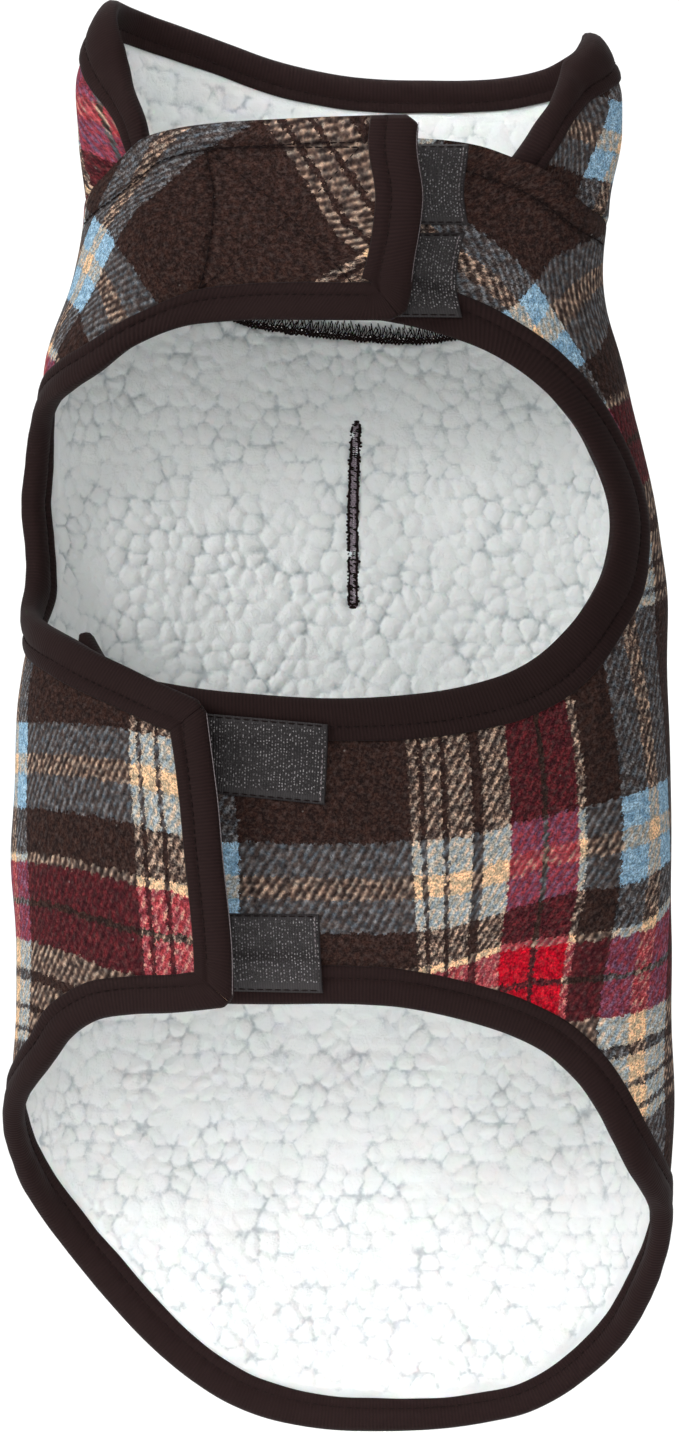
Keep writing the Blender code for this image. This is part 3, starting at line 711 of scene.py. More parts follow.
def cornered(outline, corner, radius):
    """An outline with one of its corners cut off in a curve."""
    away = np.linalg.norm(outline - corner, axis=1)
    first = int(away.argmax())
    outline = np.roll(outline, -first, axis=0)
    near = np.flatnonzero(np.roll(away, -first) < radius)
    before = outline[near[0] - 1]
    after = outline[near[-1] + 1]
    t = np.linspace(0, 1, 8)[1:-1, None]
    curve = (1 - t) ** 2 * before + 2 * t * (1 - t) * corner + t**2 * after
    return np.concatenate([outline[:near[0]], curve, outline[near[-1] + 1:]])


class Cut:
    """One cut piece: its coarse outline, where each of its edges starts, and its smooth outline."""

    def __init__(self, edges, first, last):
        self.starts = [0]
        for edge in edges:
            self.starts.append(self.starts[-1] + len(edge) - 1)
        first_point = self.starts[first]
        last_point = self.starts[last]
        outline = np.concatenate([edge[:-1] for edge in edges])
        self.outline = under_binding(outline, first_point, last_point)
        self.mitres = inward_mitres(self.outline)
        # At its two ends the binding is cut off along the cloth's free edge
        for end, step in ((first_point, 1), (last_point, -1)):
            inward = unit(turned_in(step * (self.outline[end + step] - self.outline[end])))
            free = self.outline[end - step] - self.outline[end]
            self.mitres[end] = free / max(free @ inward, 0.5 * np.linalg.norm(free))
        self.bound = self.outline[first_point:last_point + 1]
        fine = []
        self.free = []
        for number, (start, end) in enumerate(zip(self.starts, self.starts[1:])):
            rows = self.outline[np.arange(start, end + 1) % len(outline)]
            places = places_along(rows)
            curve = through(rows, places, evenly(places[-1], SMOOTH_STEP))
            fine.append(curve[:-1])
            if not first <= number < last:
                self.free.append(curve)
        self.fine = np.concatenate(fine)
        for corner in (first_point, last_point):
            self.fine = cornered(self.fine, self.outline[corner], END_ROUNDING)

    def stretch(self, first, last, step):
        """A stretch of the outline as (edge, inner edge, distance along it), a step apart."""
        stations = np.arange(first, last + 1) % len(self.outline)
        rows = self.outline[stations]
        deep = rows + BINDING_WIDTH * self.mitres[stations]
        places = places_along(rows)
        at = evenly(places[-1], step)
        return through(rows, places, at), through(deep, places, at), at

    def from_bound(self, points):
        """How far points are from the edges that bindings cover."""
        return distance_to(self.bound, points)

    def from_free(self, points):
        """How far points are from the edges that are only folded."""
        return np.min([distance_to(edge[::3], points) for edge in self.free], axis=0)


CUTS = []


def the_cuts():
    """The body's and the collar's cuts, worked out once."""
    if not CUTS:
        body = [edge_points(edge) for edge in (
            NECK, RIGHT_STRAP_TOP, RIGHT_STRAP_END, RIGHT_LEG, RIGHT_FLAP_END, HEM, LEFT_FLAP_END,
            LEFT_LEG, LEFT_STRAP_END, LEFT_STRAP_TOP)]
        neck = edge_points(NECK)[::-1] + np.array([0, COLLAR_SEAM_RISE])
        seam = np.concatenate([edge_points(COLLAR_SEAM_RIGHT)[:-1], neck,
                               edge_points(COLLAR_SEAM_LEFT)[1:]])
        collar = [edge_points(edge) for edge in (COLLAR_LEFT_FRONT, COLLAR_TOP, COLLAR_RIGHT_FRONT)]
        CUTS.extend([Cut(body, 2, 9), Cut(collar + [seam], 0, 3)])
    return CUTS


def sheets():
    """The two cuts with what each needs: its name, its rise, its holes and its check's charts."""
    body, collar = the_cuts()
    return (("body", body, body_rise, [slot_outline()], (WARP_LINES, WEFT_LINES)),
            ("collar", collar, collar_rise, [], (COLLAR_WARP, COLLAR_WEFT)))


def slot_middle(count):
    """Points down the middle of the leash slot, which bows a little."""
    share = np.linspace(0, 1, count)
    middle = straight_through(points_of(SLOT), (0, 1), share)
    middle[:, 0] += SLOT_BOW * 4 * share * (1 - share)
    return middle


def slot_outline():
    """The leash slot's closed outline on the pattern."""
    middle = slot_middle(SLOT_PIECES + 1)
    half = np.array([SLOT_WIDTH / 2, 0])
    return np.concatenate([middle - half, (middle + half)[::-1]])


def sewn_lines():
    """Lines of stitching through the body's cloth that no binding covers."""
    body, _ = the_cuts()
    lines = {}
    for name, edge in (("right strap", 1), ("left strap", 9)):
        outer, deep, _ = body.stretch(body.starts[edge], body.starts[edge + 1], SEWN_STEP)
        lines[name] = outer + (deep - outer) * TOPSTITCH_IN / BINDING_WIDTH
    box = points_of(BOX_STITCHES)
    for k, (i, j) in enumerate(((0, 1), (3, 0), (0, 2), (1, 3))):
        line = straight(box[i], box[j], BOX_POINTS)
        if k:
            line[:, 0] += BOX_BOW * np.sin(math.pi * np.linspace(0, 1, BOX_POINTS))
        lines[f"box {k}"] = line
    return lines


# ------------------------------------------------------------------------------------------------
# The body's tube, and how far the cloth stands off it


def tube_section(up):
    """The oval of four arcs that the body has at each height, as named arrays."""
    left, right, front = (smooth_column(TUBE, name, up) for name in ("left", "right", "front"))
    half_width = (right - left) / 2
    half_depth = (CLOTH - front) / 2
    side = SIDE_ROUNDNESS * half_depth
    reach = half_width - side
    broad = (reach**2 + half_depth**2 - side**2) / (2 * (half_depth - side))
    turn = np.arctan2(reach, broad - half_depth)
    return {
        "middle": (left + right) / 2,
        "centre_y": (CLOTH + front) / 2,
        "half_depth": half_depth,
        "side": side,
        "reach": reach,
        "broad": broad,
        "turn": turn,
        "quarter": broad * turn + side * (math.pi / 2 - turn),
    }


def wrap(across, up, out):
    """Points in space, in mm, of points of the pattern at a distance out from the plaid's face."""
    tube = tube_section(up)
    half_girth = 2 * tube["quarter"]
    signed = (across + half_girth) % (2 * half_girth) - half_girth
    side = np.where(signed < 0, -1.0, 1.0)
    run = np.abs(signed)
    on_front = run > tube["quarter"]
    run = np.where(on_front, half_girth - run, run)
    broad_run = tube["broad"] * tube["turn"]
    on_broad = run < broad_run
    psi = np.where(on_broad, run / tube["broad"], tube["turn"] + (run - broad_run) / tube["side"])
    radius = np.where(on_broad, tube["broad"], tube["side"])
    x = np.where(on_broad, 0, tube["reach"]) + radius * np.sin(psi)
    y = np.where(on_broad, tube["half_depth"] - tube["broad"], 0) + radius * np.cos(psi)
    facing = np.where(on_front, -1.0, 1.0)
    x = tube["middle"] + side * (x + out * np.sin(psi))
    y = tube["centre_y"] + facing * (y + out * np.cos(psi))
    return np.stack([x, y, up], axis=-1)


def laid(flat, out, rise):
    """Points in space, in mm, at a distance out over cloth that has a rise of its own."""
    across = flat[..., 0]
    up = flat[..., 1]
    return wrap(across, up, out + rise(across, up))


def fold_height(table, across, up):
    """How far a table's soft folds move the cloth outward."""
    total = np.zeros_like(across)
    for a0, u0, angle, length, width, height in zip(
        *columns(table, "across", "up", "angle", "length", "width", "height")
    ):
        c = math.cos(math.radians(angle))
        s = math.sin(math.radians(angle))
        along = ((across - a0) * c + (up - u0) * s) / (length / 2)
        side = ((up - u0) * c - (across - a0) * s) / width
        total += height * np.exp(-side * side) * (1 - ease(np.abs(along)))
    return total


def body_rise(across, up):
    """How far the body's cloth stands off the tube: folds, creases, and its lap at the front."""
    tube = tube_section(up)
    past_middle = np.abs(across) - 2 * tube["quarter"]
    on_left = across < 0
    x = tube["middle"] + np.where(on_left, past_middle, -past_middle)
    starts, ends = (np.interp(up, LAP_ZONE["up"], LAP_ZONE[name]) for name in ("starts", "ends"))
    share = ease((x - starts) / (ends - starts))
    lap = np.where(on_left, LAP * share, LAP * (share - 1))
    creased = fold_height(FOLDS, across, up) + fold_height(CREASES, across, up)
    return lap + creased + BODY_WAVES * waver(across, up, 46, 1)


def collar_rise(across, up):
    """How far the collar stands off the tube: its fronts tuck in behind the chest straps."""
    share = ease((np.abs(across) - TUCK_BEGINS) / (TUCK_ENDS - TUCK_BEGINS))
    return -COLLAR_TUCK * share + COLLAR_WAVES * waver(across, up, 34, 2)


def drawn_in(flat, cut, lines):
    """How far its binding and sewn lines pull the shell in, and how near it is to a line."""
    at_binding = 1 - ease((cut.from_bound(flat) - BINDING_WIDTH) / BINDING_PULL_WIDTH)
    pressed = np.zeros(len(flat))
    for name, line in lines.items():
        near = np.exp(-((distance_to(line, flat) / SEWN_WIDTH) ** 2))
        pressed = np.maximum(pressed, SLACK.get(name, 1.0) * near)
    pucker = 1 + 0.4 * np.sin(flat[:, 0] * 1.9 + 0.7 * np.sin(flat[:, 1] * 0.9))
    return -BINDING_PULL * at_binding - SEWN_PULL * pressed * pucker, pressed


def folded_over(flat, cut):
    """How far the cloth drops as it turns over its free, folded edges."""
    share = (1 - cut.from_free(flat) / FOLD_REACH).clip(0, 1)
    return FOLD_DROP * (1 - np.sqrt(1 - share**2))


def clumps(across, up, size, seed):
    """How high the pile stands: round-topped clumps, up to 1, that meet in creases, at 0."""
    slow = waver(across, up, 4.1 * size, seed + 9)
    shift = waver(across, up, 2.9 * size, seed + 3)
    across = across + size * (0.17 * shift + 0.05 * waver(across, up, 0.9 * size, seed + 4))
    shift = waver(across, up, 3.3 * size, seed + 5)
    up = up + size * (0.17 * shift + 0.05 * waver(across, up, size, seed + 6))
    column = np.floor(across / size)
    row = np.floor(up / size)
    first = np.full(len(across), -9.0)
    second = np.full(len(across), -9.0)
    for di in (-2, -1, 0, 1):
        for dj in (-1, 0, 1):
            i = column + di
            j = row + dj
            x = (i + 0.5 + 0.5 * (j % 2) + 0.8 * (scatter(i, j, seed) - 0.5)) * size
            y = (j + 0.5 + 0.8 * (scatter(i, j, seed + 1) - 0.5)) * size
            radius = size * (0.66 + 0.3 * scatter(i, j, seed + 2))
            dome = 1 - ((across - x) ** 2 + (up - y) ** 2) / radius**2
            second = np.maximum(second, np.minimum(first, dome))
            first = np.maximum(first, dome)
    # A crease between clumps sinks the pile, and through the pile field it also paints crease shade
    shaded_crease = np.exp(-(((first - second) / 0.4) ** 2)) * (0.7 + 0.5 * slow).clip(0.2, 1.1)
    return (0.45 + 0.55 * first.clip(0, 1) - 0.5 * shaded_crease).clip(0, 1)


def spread(table, points):
    """A chart's value at any point of the cut, on a smooth surface through its rows."""
    rows = points_of(table)
    count = len(rows)

    def bend(a, b):
        square = ((a[:, None, :] - b[None, :, :]) ** 2).sum(axis=2)
        return 0.5 * square * np.log(square + 1e-9)

    plane = np.concatenate([np.ones((count, 1)), rows], axis=1)
    system = np.zeros((count + 3, count + 3))
    system[:count, :count] = bend(rows, rows) + CHART_STIFFNESS * np.eye(count)
    system[:count, count:] = plane
    system[count:, :count] = plane.T
    weights = np.linalg.solve(system, np.concatenate([columns(table, "thread")[0], np.zeros(3)]))
    result = []
    for part in np.array_split(points, 12):
        flat = np.concatenate([np.ones((len(part), 1)), part], axis=1)
        result.append(bend(part, rows) @ weights[:count] + flat @ weights[count:])
    return np.concatenate(result)


# ------------------------------------------------------------------------------------------------
# Meshes


def spaced_inside(outline, step, low, high):
    """A triangular grid of points inside an outline and inside the box from low to high."""
    following = np.roll(outline, -1, axis=0)
    found = [np.zeros((0, 2))]
    bottom = max(outline[:, 1].min() + step / 2, low[1])
    heights = np.arange(bottom, min(outline[:, 1].max(), high[1]), step * math.sqrt(0.75))
    for row, y in enumerate(heights):
        crossing = (outline[:, 1] > y) != (following[:, 1] > y)
        a = outline[crossing]
        b = following[crossing]
        xs = np.sort(a[:, 0] + (y - a[:, 1]) * (b[:, 0] - a[:, 0]) / (b[:, 1] - a[:, 1]))
        shift = step / 2 * (row % 2)
        for left, right in zip(xs[::2], xs[1::2]):
            start = math.ceil((max(left, low[0]) - shift) / step)
            stop = math.floor((min(right, high[0]) - shift) / step)
            if stop >= start:
                x = np.arange(start, stop + 1) * step + shift
                found.append(np.stack([x, np.full_like(x, y)], axis=1))
    return np.concatenate(found)


def nearest_to(spots, points):
    """How far each point is from the nearest of many spots."""
    tree = KDTree(len(spots))
    for i, (x, y) in enumerate(spots):
        tree.insert((x, y, 0), i)
    tree.balance()
    return np.array([tree.find((x, y, 0))[2] for x, y in points])


def fill(loops, zones):
    """Points, triangles and rim edges that fill an outline less its holes.

    Zones are (step, low, high): how far apart the points are inside each box of the pattern.
    """
    ring = np.concatenate(loops)
    grid = []
    for step, low, high in zones:
        points = spaced_inside(loops[0], step, low, high)
        grid.append(points[nearest_to(ring, points) > RIM_GAP * step])
    grid = np.concatenate(grid)
    edges = []
    first = 0
    for loop in loops:
        edges += [(first + i, first + (i + 1) % len(loop)) for i in range(len(loop))]
        first += len(loop)
    points = [Vector(p) for p in np.concatenate([ring, grid])]
    found, _, triangles, origins, _, _ = delaunay_2d_cdt(points, edges, [], 1, 1e-5)
    flat = np.array([tuple(p) for p in found])
    triangles = np.array([tuple(t) for t in triangles])
    for hole in loops[1:]:
        triangles = triangles[~inside(hole, flat[triangles].mean(axis=1))]
    place = np.full(len(points), -1)
    for new, olds in enumerate(origins):
        place[olds] = new
    return flat, triangles, place[np.array(edges)]


def rim(near, far):
    """Triangles between two matching rims, each given as its edges' (start, end) points."""
    (a, b), (c, d) = near.T, far.T
    return np.stack([b, a, c, b, c, d], axis=1).reshape(-1, 3)


def wall(seen, hidden, seen_points, hidden_points):
    """A closed wall of cloth: a fine face that shows, a coarse one that doesn't, and their rim."""
    _, triangles_seen, rim_seen = seen
    _, triangles_hidden, rim_hidden = hidden
    count = len(seen_points)
    triangles = np.concatenate([triangles_seen, triangles_hidden[:, ::-1] + count,
                                rim(rim_seen, rim_hidden + count)])
    return np.concatenate([seen_points, hidden_points]), triangles


def tubes(centres, normals, radius, sides):
    """Closed threads along many short paths: centres and normals are (threads, points, 3)."""
    count, length, _ = centres.shape
    along = unit(np.gradient(centres, axis=1))
    beside = unit(np.cross(along, normals))
    above = np.cross(beside, along)
    turn = np.linspace(0, 2 * math.pi, sides, endpoint=False)[:, None]
    ring = np.cos(turn) * beside[:, :, None, :] + np.sin(turn) * above[:, :, None, :]
    taper = np.ones(length)
    taper[[0, -1]] = THREAD_TAPER
    points = centres[:, :, None, :] + radius * taper[None, :, None, None] * ring
    one = []
    for k in range(length - 1):
        for s in range(sides):
            a, b = k * sides + s, k * sides + (s + 1) % sides
            one += [(a, a + sides, b), (b, a + sides, b + sides)]
    last = (length - 1) * sides
    for s in range(1, sides - 1):
        one += [(0, s, s + 1), (last, last + s + 1, last + s)]
    offsets = np.arange(count) * length * sides
    triangles = (np.array(one)[None] + offsets[:, None, None]).reshape(-1, 3)
    return points.reshape(-1, 3), triangles


def threads_on(flat, out, rise, radius, inward=False, sides=6):
    """Threads along paths on the pattern, on the cloth's outer or its inner side."""
    across = flat[..., 0]
    up = flat[..., 1]
    lift = out + rise(across, up)
    centres = wrap(across, up, lift)
    outward = wrap(across, up, lift + 1) - centres
    return tubes(centres, -outward if inward else outward, radius, sides)


def stitches(line, rise, out, inward=False, length=2.7, radius=0.24):
    """Lock stitches along a line on the pattern, on the cloth's outer or inner side."""
    places = places_along(line)
    count = max(1, int(places[-1] // length))
    starts = (np.arange(count) + 0.5 * STITCH_GAP / length) * places[-1] / count
    arch = np.array(STITCH_ARCH)
    at = starts[:, None] + np.linspace(0, places[-1] / count - STITCH_GAP, len(arch))
    flat = straight_through(line, places, at)
    return threads_on(flat, out + (-arch if inward else arch), rise, radius, inward)


def merged(parts):
    """Several (points, triangles) as one."""
    firsts = np.cumsum([0] + [len(points) for points, _ in parts])
    return (np.concatenate([points for points, _ in parts]),
            np.concatenate([faces + first for (_, faces), first in zip(parts, firsts)]))


def make_piece(name, points, triangles, material, fields=()):
    """An object from points in mm and triangles, facing outward, with its point fields."""
    a, b, c = (points[triangles[:, k]] for k in range(3))
    if np.einsum("ij,ij->i", a, np.cross(b, c)).sum() < 0:
        triangles = triangles[:, ::-1]
    mesh = bpy.data.meshes.new(name)
    mesh.vertices.add(len(points))
    mesh.vertices.foreach_set("co", (points * MM).ravel())
    mesh.loops.add(triangles.size)
    mesh.loops.foreach_set("vertex_index", triangles.ravel().astype(np.int32))
    mesh.polygons.add(len(triangles))
    mesh.polygons.foreach_set("loop_start", np.arange(0, triangles.size, 3, dtype=np.int32))
    mesh.update(calc_edges=True)
    mesh.validate()
    mesh.shade_smooth()
    for field, values in dict(fields).items():
        kind, item = ("FLOAT", "value") if values.ndim == 1 else ("FLOAT_VECTOR", "vector")
        layer = mesh.attributes.new(field, kind, "POINT")
        layer.data.foreach_set(item, values.ravel().astype(float))
    mesh.materials.append(material)
    piece = bpy.data.objects.new(name, mesh)
    bpy.context.collection.objects.link(piece)
    return piece


def stand_for(piece, node):
    """Makes a piece ride on the coat and stand for a node of the model, whose part it hides."""
    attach(piece, "root")
    if node:
        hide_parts(node)


def make_threads(name, parts, shade):
    """One piece of many threads, in one shade of the sewing thread."""
    stand_for(make_piece(name, *merged(parts), thread(shade)), None)


# ------------------------------------------------------------------------------------------------
# Materials


def new_material(name):
    """An empty material with its shader joined to its output: (material, node tree, shader)."""
    material = bpy.data.materials.new(name)
    material.use_nodes = True
    tree = material.node_tree
    return material, tree, tree.nodes["Principled BSDF"]


def join(tree, node, taken):
    """Gives a node's sockets what they take: a value, a socket, or a node's first output."""
    for socket, value in taken.items():
        if isinstance(value, bpy.types.Node):
            value = value.outputs[0]
        if isinstance(value, bpy.types.NodeSocket):
            tree.links.new(value, node.inputs[socket])
        else:
            node.inputs[socket].default_value = value


def add(tree, kind, taken, **settings):
    """One node with its settings, and what its sockets take."""
    made = tree.nodes.new("ShaderNode" + kind)
    for name, value in settings.items():
        if name == "stops":
            while len(made.color_ramp.elements) < len(value):
                made.color_ramp.elements.new(1.0)
            for element, (place, colour) in zip(made.color_ramp.elements, value):
                element.position = place
                element.color = (*colour, 1.0)[:4]
        else:
            setattr(made, name, value)
    join(tree, made, taken)
    return made


def brushed_twill():
    """Brushed wool twill, woven from dyed yarn and raised with wire brushes.

    The brushing lifts a short fuzz, so the floats of the twill show as soft slanting tufts of warp
    colour over weft colour, the bands' edges are ragged, and the surface never shines.
    """
    colours = bpy.context.scene.coat_colours
    material, tree, shader = new_material("wool twill, yarn-dyed and brushed")
    threads = add(tree, "Attribute", {}, attribute_name="threads").outputs["Vector"]
    # Tufts lean with the twill: places beside and along its lines, drawn out along them
    lean = math.radians(TWILL_LEAN)
    across_lines = (math.sin(lean), -math.cos(lean) * WEFT_LONGER, 0.0)
    along_lines = (TUFT_DRAW * math.cos(lean), TUFT_DRAW * math.sin(lean) * WEFT_LONGER, 0.0)
    beside, along = (
        add(tree, "VectorMath", {0: threads, 1: way}, operation="DOT_PRODUCT").outputs["Value"]
        for way in (across_lines, along_lines))
    leaning = add(tree, "CombineXYZ", {"X": beside, "Y": along})
    # Fibres pulled across the bands' edges leave them ragged by about 1 mm
    ragged = add(tree, "TexNoise", {
        "Vector": leaning, "Scale": PER_MM["ragged edge"], "Detail": 3.0, "Roughness": 0.7})
    pulled = add(tree, "VectorMath", {0: ragged.outputs["Color"], 1: (0.5, 0.5, 0.5)},
                 operation="SUBTRACT")
    pulled = add(tree, "VectorMath", {0: pulled, 1: (FIBRE_PULL, FIBRE_PULL, 0.0)},
                 operation="MULTIPLY")
    yarn = add(tree, "SeparateXYZ", {0: add(tree, "VectorMath", {0: threads, 1: pulled})})
    # The floats: slanting lines broken into tufts 2 mm wide and 2.6 mm long, blurred by the fuzz
    tufts = add(tree, "TexNoise", {
        "Vector": leaning, "Scale": PER_MM["tuft"], "Detail": 1.5, "Roughness": 0.6})
    fuzz = add(tree, "TexNoise", {
        "Vector": threads, "Scale": PER_MM["fuzz"], "Detail": 3.0, "Roughness": 0.75})
    wander = add(tree, "Math", {0: tufts, 1: 3.0}, operation="MULTIPLY")
    phase = 2 * math.pi * MM / bpy.context.scene.coat_sizes.twill
    phase = add(tree, "Math", {0: beside, 1: phase, 2: wander}, operation="MULTIPLY_ADD")
    lines = add(tree, "Math", {0: phase}, operation="SINE")
    lines = add(tree, "Math", {0: lines, 1: 0.32, 2: -1.7}, operation="MULTIPLY_ADD")
    broken = add(tree, "Math", {0: tufts, 1: 2.6, 2: lines}, operation="MULTIPLY_ADD")
    fuzzed = add(tree, "Math", {0: fuzz, 1: 1.8, 2: broken}, operation="MULTIPLY_ADD")
    even = add(tree, "MapRange", {"Value": fuzzed, "To Min": -0.42, "To Max": 0.42})
    # The check: each yarn's colour where its thread lies, with its crispness as the ramp's alpha
    stops = [(start / REPEAT, (*getattr(colours, colour), CRISP[colour]))
             for start, colour in zip(BANDS["starts"], BANDS["colour"])]
    ramps = []
    for way in ("X", "Y"):
        turns = add(tree, "Math", {0: yarn.outputs[way], 1: 1 / REPEAT}, operation="MULTIPLY")
        place = add(tree, "Math", {0: turns}, operation="FRACT")
        ramps.append(add(tree, "ValToRGB", {0: place}, stops=stops))
        ramps[-1].color_ramp.interpolation = "CONSTANT"
    warp, weft = ramps
    crispest, least_crisp = (
        add(tree, "Math", {0: warp.outputs["Alpha"], 1: weft.outputs["Alpha"]}, operation=which)
        for which in ("MAXIMUM", "MINIMUM"))
    warp_share = add(tree, "Math", {0: even, 1: crispest, 2: 0.5}, operation="MULTIPLY_ADD")
    weft_share = add(tree, "Math", {0: 1.0, 1: warp_share}, operation="SUBTRACT")
    # Fibres of two colours that lie among each other darken like dyes, so their colours multiply
    strands = [add(tree, "Gamma", {"Color": ramp, "Gamma": share})
               for ramp, share in ((warp, warp_share), (weft, weft_share))]
    dyed = add(tree, "VectorMath", dict(enumerate(strands)), operation="MULTIPLY")
    # Where the two differ, the brushed mix of them is duller than either; red ones darken more,
    # and keep more of their colour
    apart = add(tree, "VectorMath", {0: warp, 1: weft}, operation="DISTANCE").outputs["Value"]
    mixed = add(tree, "MapRange", {"Value": apart, "From Max": 0.2})
    saturation, value = (
        add(tree, "MapRange", {
            "Value": least_crisp, "From Min": CRISP["red"], "From Max": CRISP["dark"],
            "To Min": with_red, "To Max": without})
        for with_red, without in ((0.88, 0.7), (0.62, 0.82)))
    dulled = add(tree, "HueSaturation", {
        "Fac": mixed, "Color": dyed, "Saturation": saturation, "Value": value})
    # Fuzz catches or loses light fibre by fibre, and turns warmer where it is thick
    lit = add(tree, "MapRange", {
        "Value": fuzz, "From Min": 0.4, "From Max": 0.62, "To Min": 0.5, "To Max": 1.6})
    nap = add(tree, "TexNoise", {
        "Vector": threads, "Scale": PER_MM["nap"], "Detail": 3.0, "Roughness": 0.65})
    warmth = add(tree, "ValToRGB", {0: nap},
                 stops=[(0.4, (0.68, 0.7, 0.72)), (0.62, (1.45, 1.22, 1.08))])
    napped = add(tree, "VectorMath", {0: dulled, 1: warmth}, operation="MULTIPLY")
    # Along stitched lines the cloth is pulled into a groove, and painted shade darkens it there
    pressed = add(tree, "Attribute", {}, attribute_name="pressed").outputs["Fac"]
    groove_shade = add(tree, "Math", {0: pressed, 1: -0.42, 2: 1.0}, operation="MULTIPLY_ADD")
    bright = add(tree, "Math", {0: lit, 1: groove_shade}, operation="MULTIPLY")
    shown = add(tree, "VectorMath", {0: napped, "Scale": bright}, operation="SCALE")
    # Stray pale fibres lie over every colour, and mottle the dark ones
    stray = add(tree, "MapRange", {"Value": ragged, "From Min": 0.48, "From Max": 0.7})
    shown = add(tree, "VectorMath", {0: stray, 1: (0.04, 0.028, 0.025), 2: shown},
                operation="MULTIPLY_ADD")
    # Lint: a pale fleck of fibre here and there
    lint = add(tree, "TexVoronoi", {"Vector": leaning, "Scale": PER_MM["lint"]})
    fleck = add(tree, "MapRange", {
        "Value": lint, "From Min": 0.022, "From Max": 0.05, "To Min": 0.5, "To Max": 0.0})
    flecked = add(tree, "Mix", {"Factor": fleck, "A": shown, "B": (0.34, 0.31, 0.29, 1.0)},
                  data_type="RGBA")
    raised = add(tree, "Math", {0: fuzz, 1: 1.2, 2: broken}, operation="MULTIPLY_ADD")
    bump = add(tree, "Bump", {"Height": raised, "Strength": 0.8, "Distance": 0.35 * MM})
    join(tree, shader, {
        "Base Color": flecked.outputs["Result"], "Normal": bump, "Roughness": 0.97, "IOR": 1.5,
        "Specular IOR Level": 0.06, "Sheen Weight": 0.02, "Sheen Roughness": 0.6})
    return material


def sherpa_pile():
    """Polyester sherpa, knitted, then tumbled so its pile curls into clumps.

    Clumps are soft and matt with light passing through their tips, and painted shade makes the
    creases between them look thin and blue-grey. Fine curls about 1 mm across break up each clump.
    """
    colours = bpy.context.scene.coat_colours
    material, tree, shader = new_material("polyester sherpa, knitted and tumbled")
    pile = add(tree, "Attribute", {}, attribute_name="pile").outputs["Fac"]
    place = add(tree, "TexCoord", {}).outputs["Object"]
    curls = add(tree, "TexNoise", {
        "Vector": place, "Scale": PER_MM["curl"] / MM, "Detail": 4.0, "Roughness": 0.7,
        "Distortion": 0.6})
    cloud = add(tree, "TexNoise", {
        "Vector": place, "Scale": PER_MM["cloud"] / MM, "Detail": 2.0})
    height = add(tree, "Math", {0: curls, 1: 0.7, 2: -0.36}, operation="MULTIPLY_ADD")
    height = add(tree, "Math", {0: height, 1: pile})
    top = add(tree, "MapRange", {"Value": height, "From Min": 0.05, "From Max": 0.66},
              interpolation_type="SMOOTHSTEP")
    # Painted shade: where the pile is low it takes the darker, blue-grey crease colour
    colour = add(tree, "Mix", {
        "Factor": top, "A": (*colours.shaded_crease, 1.0), "B": (*colours.pile, 1.0)}, data_type="RGBA")
    uneven = add(tree, "MapRange", {
        "Value": cloud, "From Min": 0.3, "From Max": 0.7, "To Min": 0.92, "To Max": 1.03})
    shown = add(tree, "VectorMath", {0: colour.outputs["Result"], "Scale": uneven},
                operation="SCALE")
    bump = add(tree, "Bump", {"Height": curls, "Strength": 0.7, "Distance": 0.8 * MM})
    join(tree, shader, {
        "Base Color": shown, "Normal": bump, "Roughness": 0.92, "IOR": 1.5,
        "Specular IOR Level": 0.2, "Sheen Weight": 0.25, "Sheen Roughness": 0.6,
        "Subsurface Weight": 0.12, "Subsurface Scale": 2.5 * MM})
    return material


def ribbed_binding():
    """Polyester binding tape, woven with cross ribs and folded over the edge.

    Ribs run straight across the tape and give it a dull, silky grain. Real ones lie 0.4 mm apart,
    too fine to show, so they are drawn 1.1 mm apart.
    """
    rib = bpy.context.scene.coat_sizes.rib
    material, tree, shader = new_material("polyester binding, woven in ribs")
    run = add(tree, "Attribute", {}, attribute_name="run").outputs["Vector"]
    stretched = add(tree, "Mapping", {"Vector": run, "Scale": (1.6, 0.5, 1.0)})
    slub = add(tree, "TexNoise", {"Vector": stretched, "Scale": 1.0, "Detail": 3.0})
    along = add(tree, "SeparateXYZ", {0: run}).outputs["X"]
    phase = add(tree, "Math", {0: along, 1: 2 * math.pi * MM / rib}, operation="MULTIPLY")
    ribs = add(tree, "Math", {0: phase}, operation="SINE")
    height = add(tree, "Math", {0: slub, 1: 2.0, 2: ribs}, operation="MULTIPLY_ADD")
    # Slub varies the tone at random; along the ribs, painted shade darkens the grooves and lightens
    # the ridges
    shade = add(tree, "MapRange", {
        "Value": height, "From Min": -0.5, "From Max": 2.6, "To Min": 0.72, "To Max": 1.3})
    colour = tuple(bpy.context.scene.coat_colours.binding)
    shown = add(tree, "VectorMath", {0: colour, "Scale": shade}, operation="SCALE")
    bump = add(tree, "Bump", {"Height": height, "Strength": 0.35, "Distance": 0.12 * MM})
    join(tree, shader, {
        "Base Color": shown, "Normal": bump, "Roughness": 0.8, "IOR": 1.5,
        "Specular IOR Level": 0.12, "Sheen Weight": 0.03, "Sheen Roughness": 0.5})
    return material


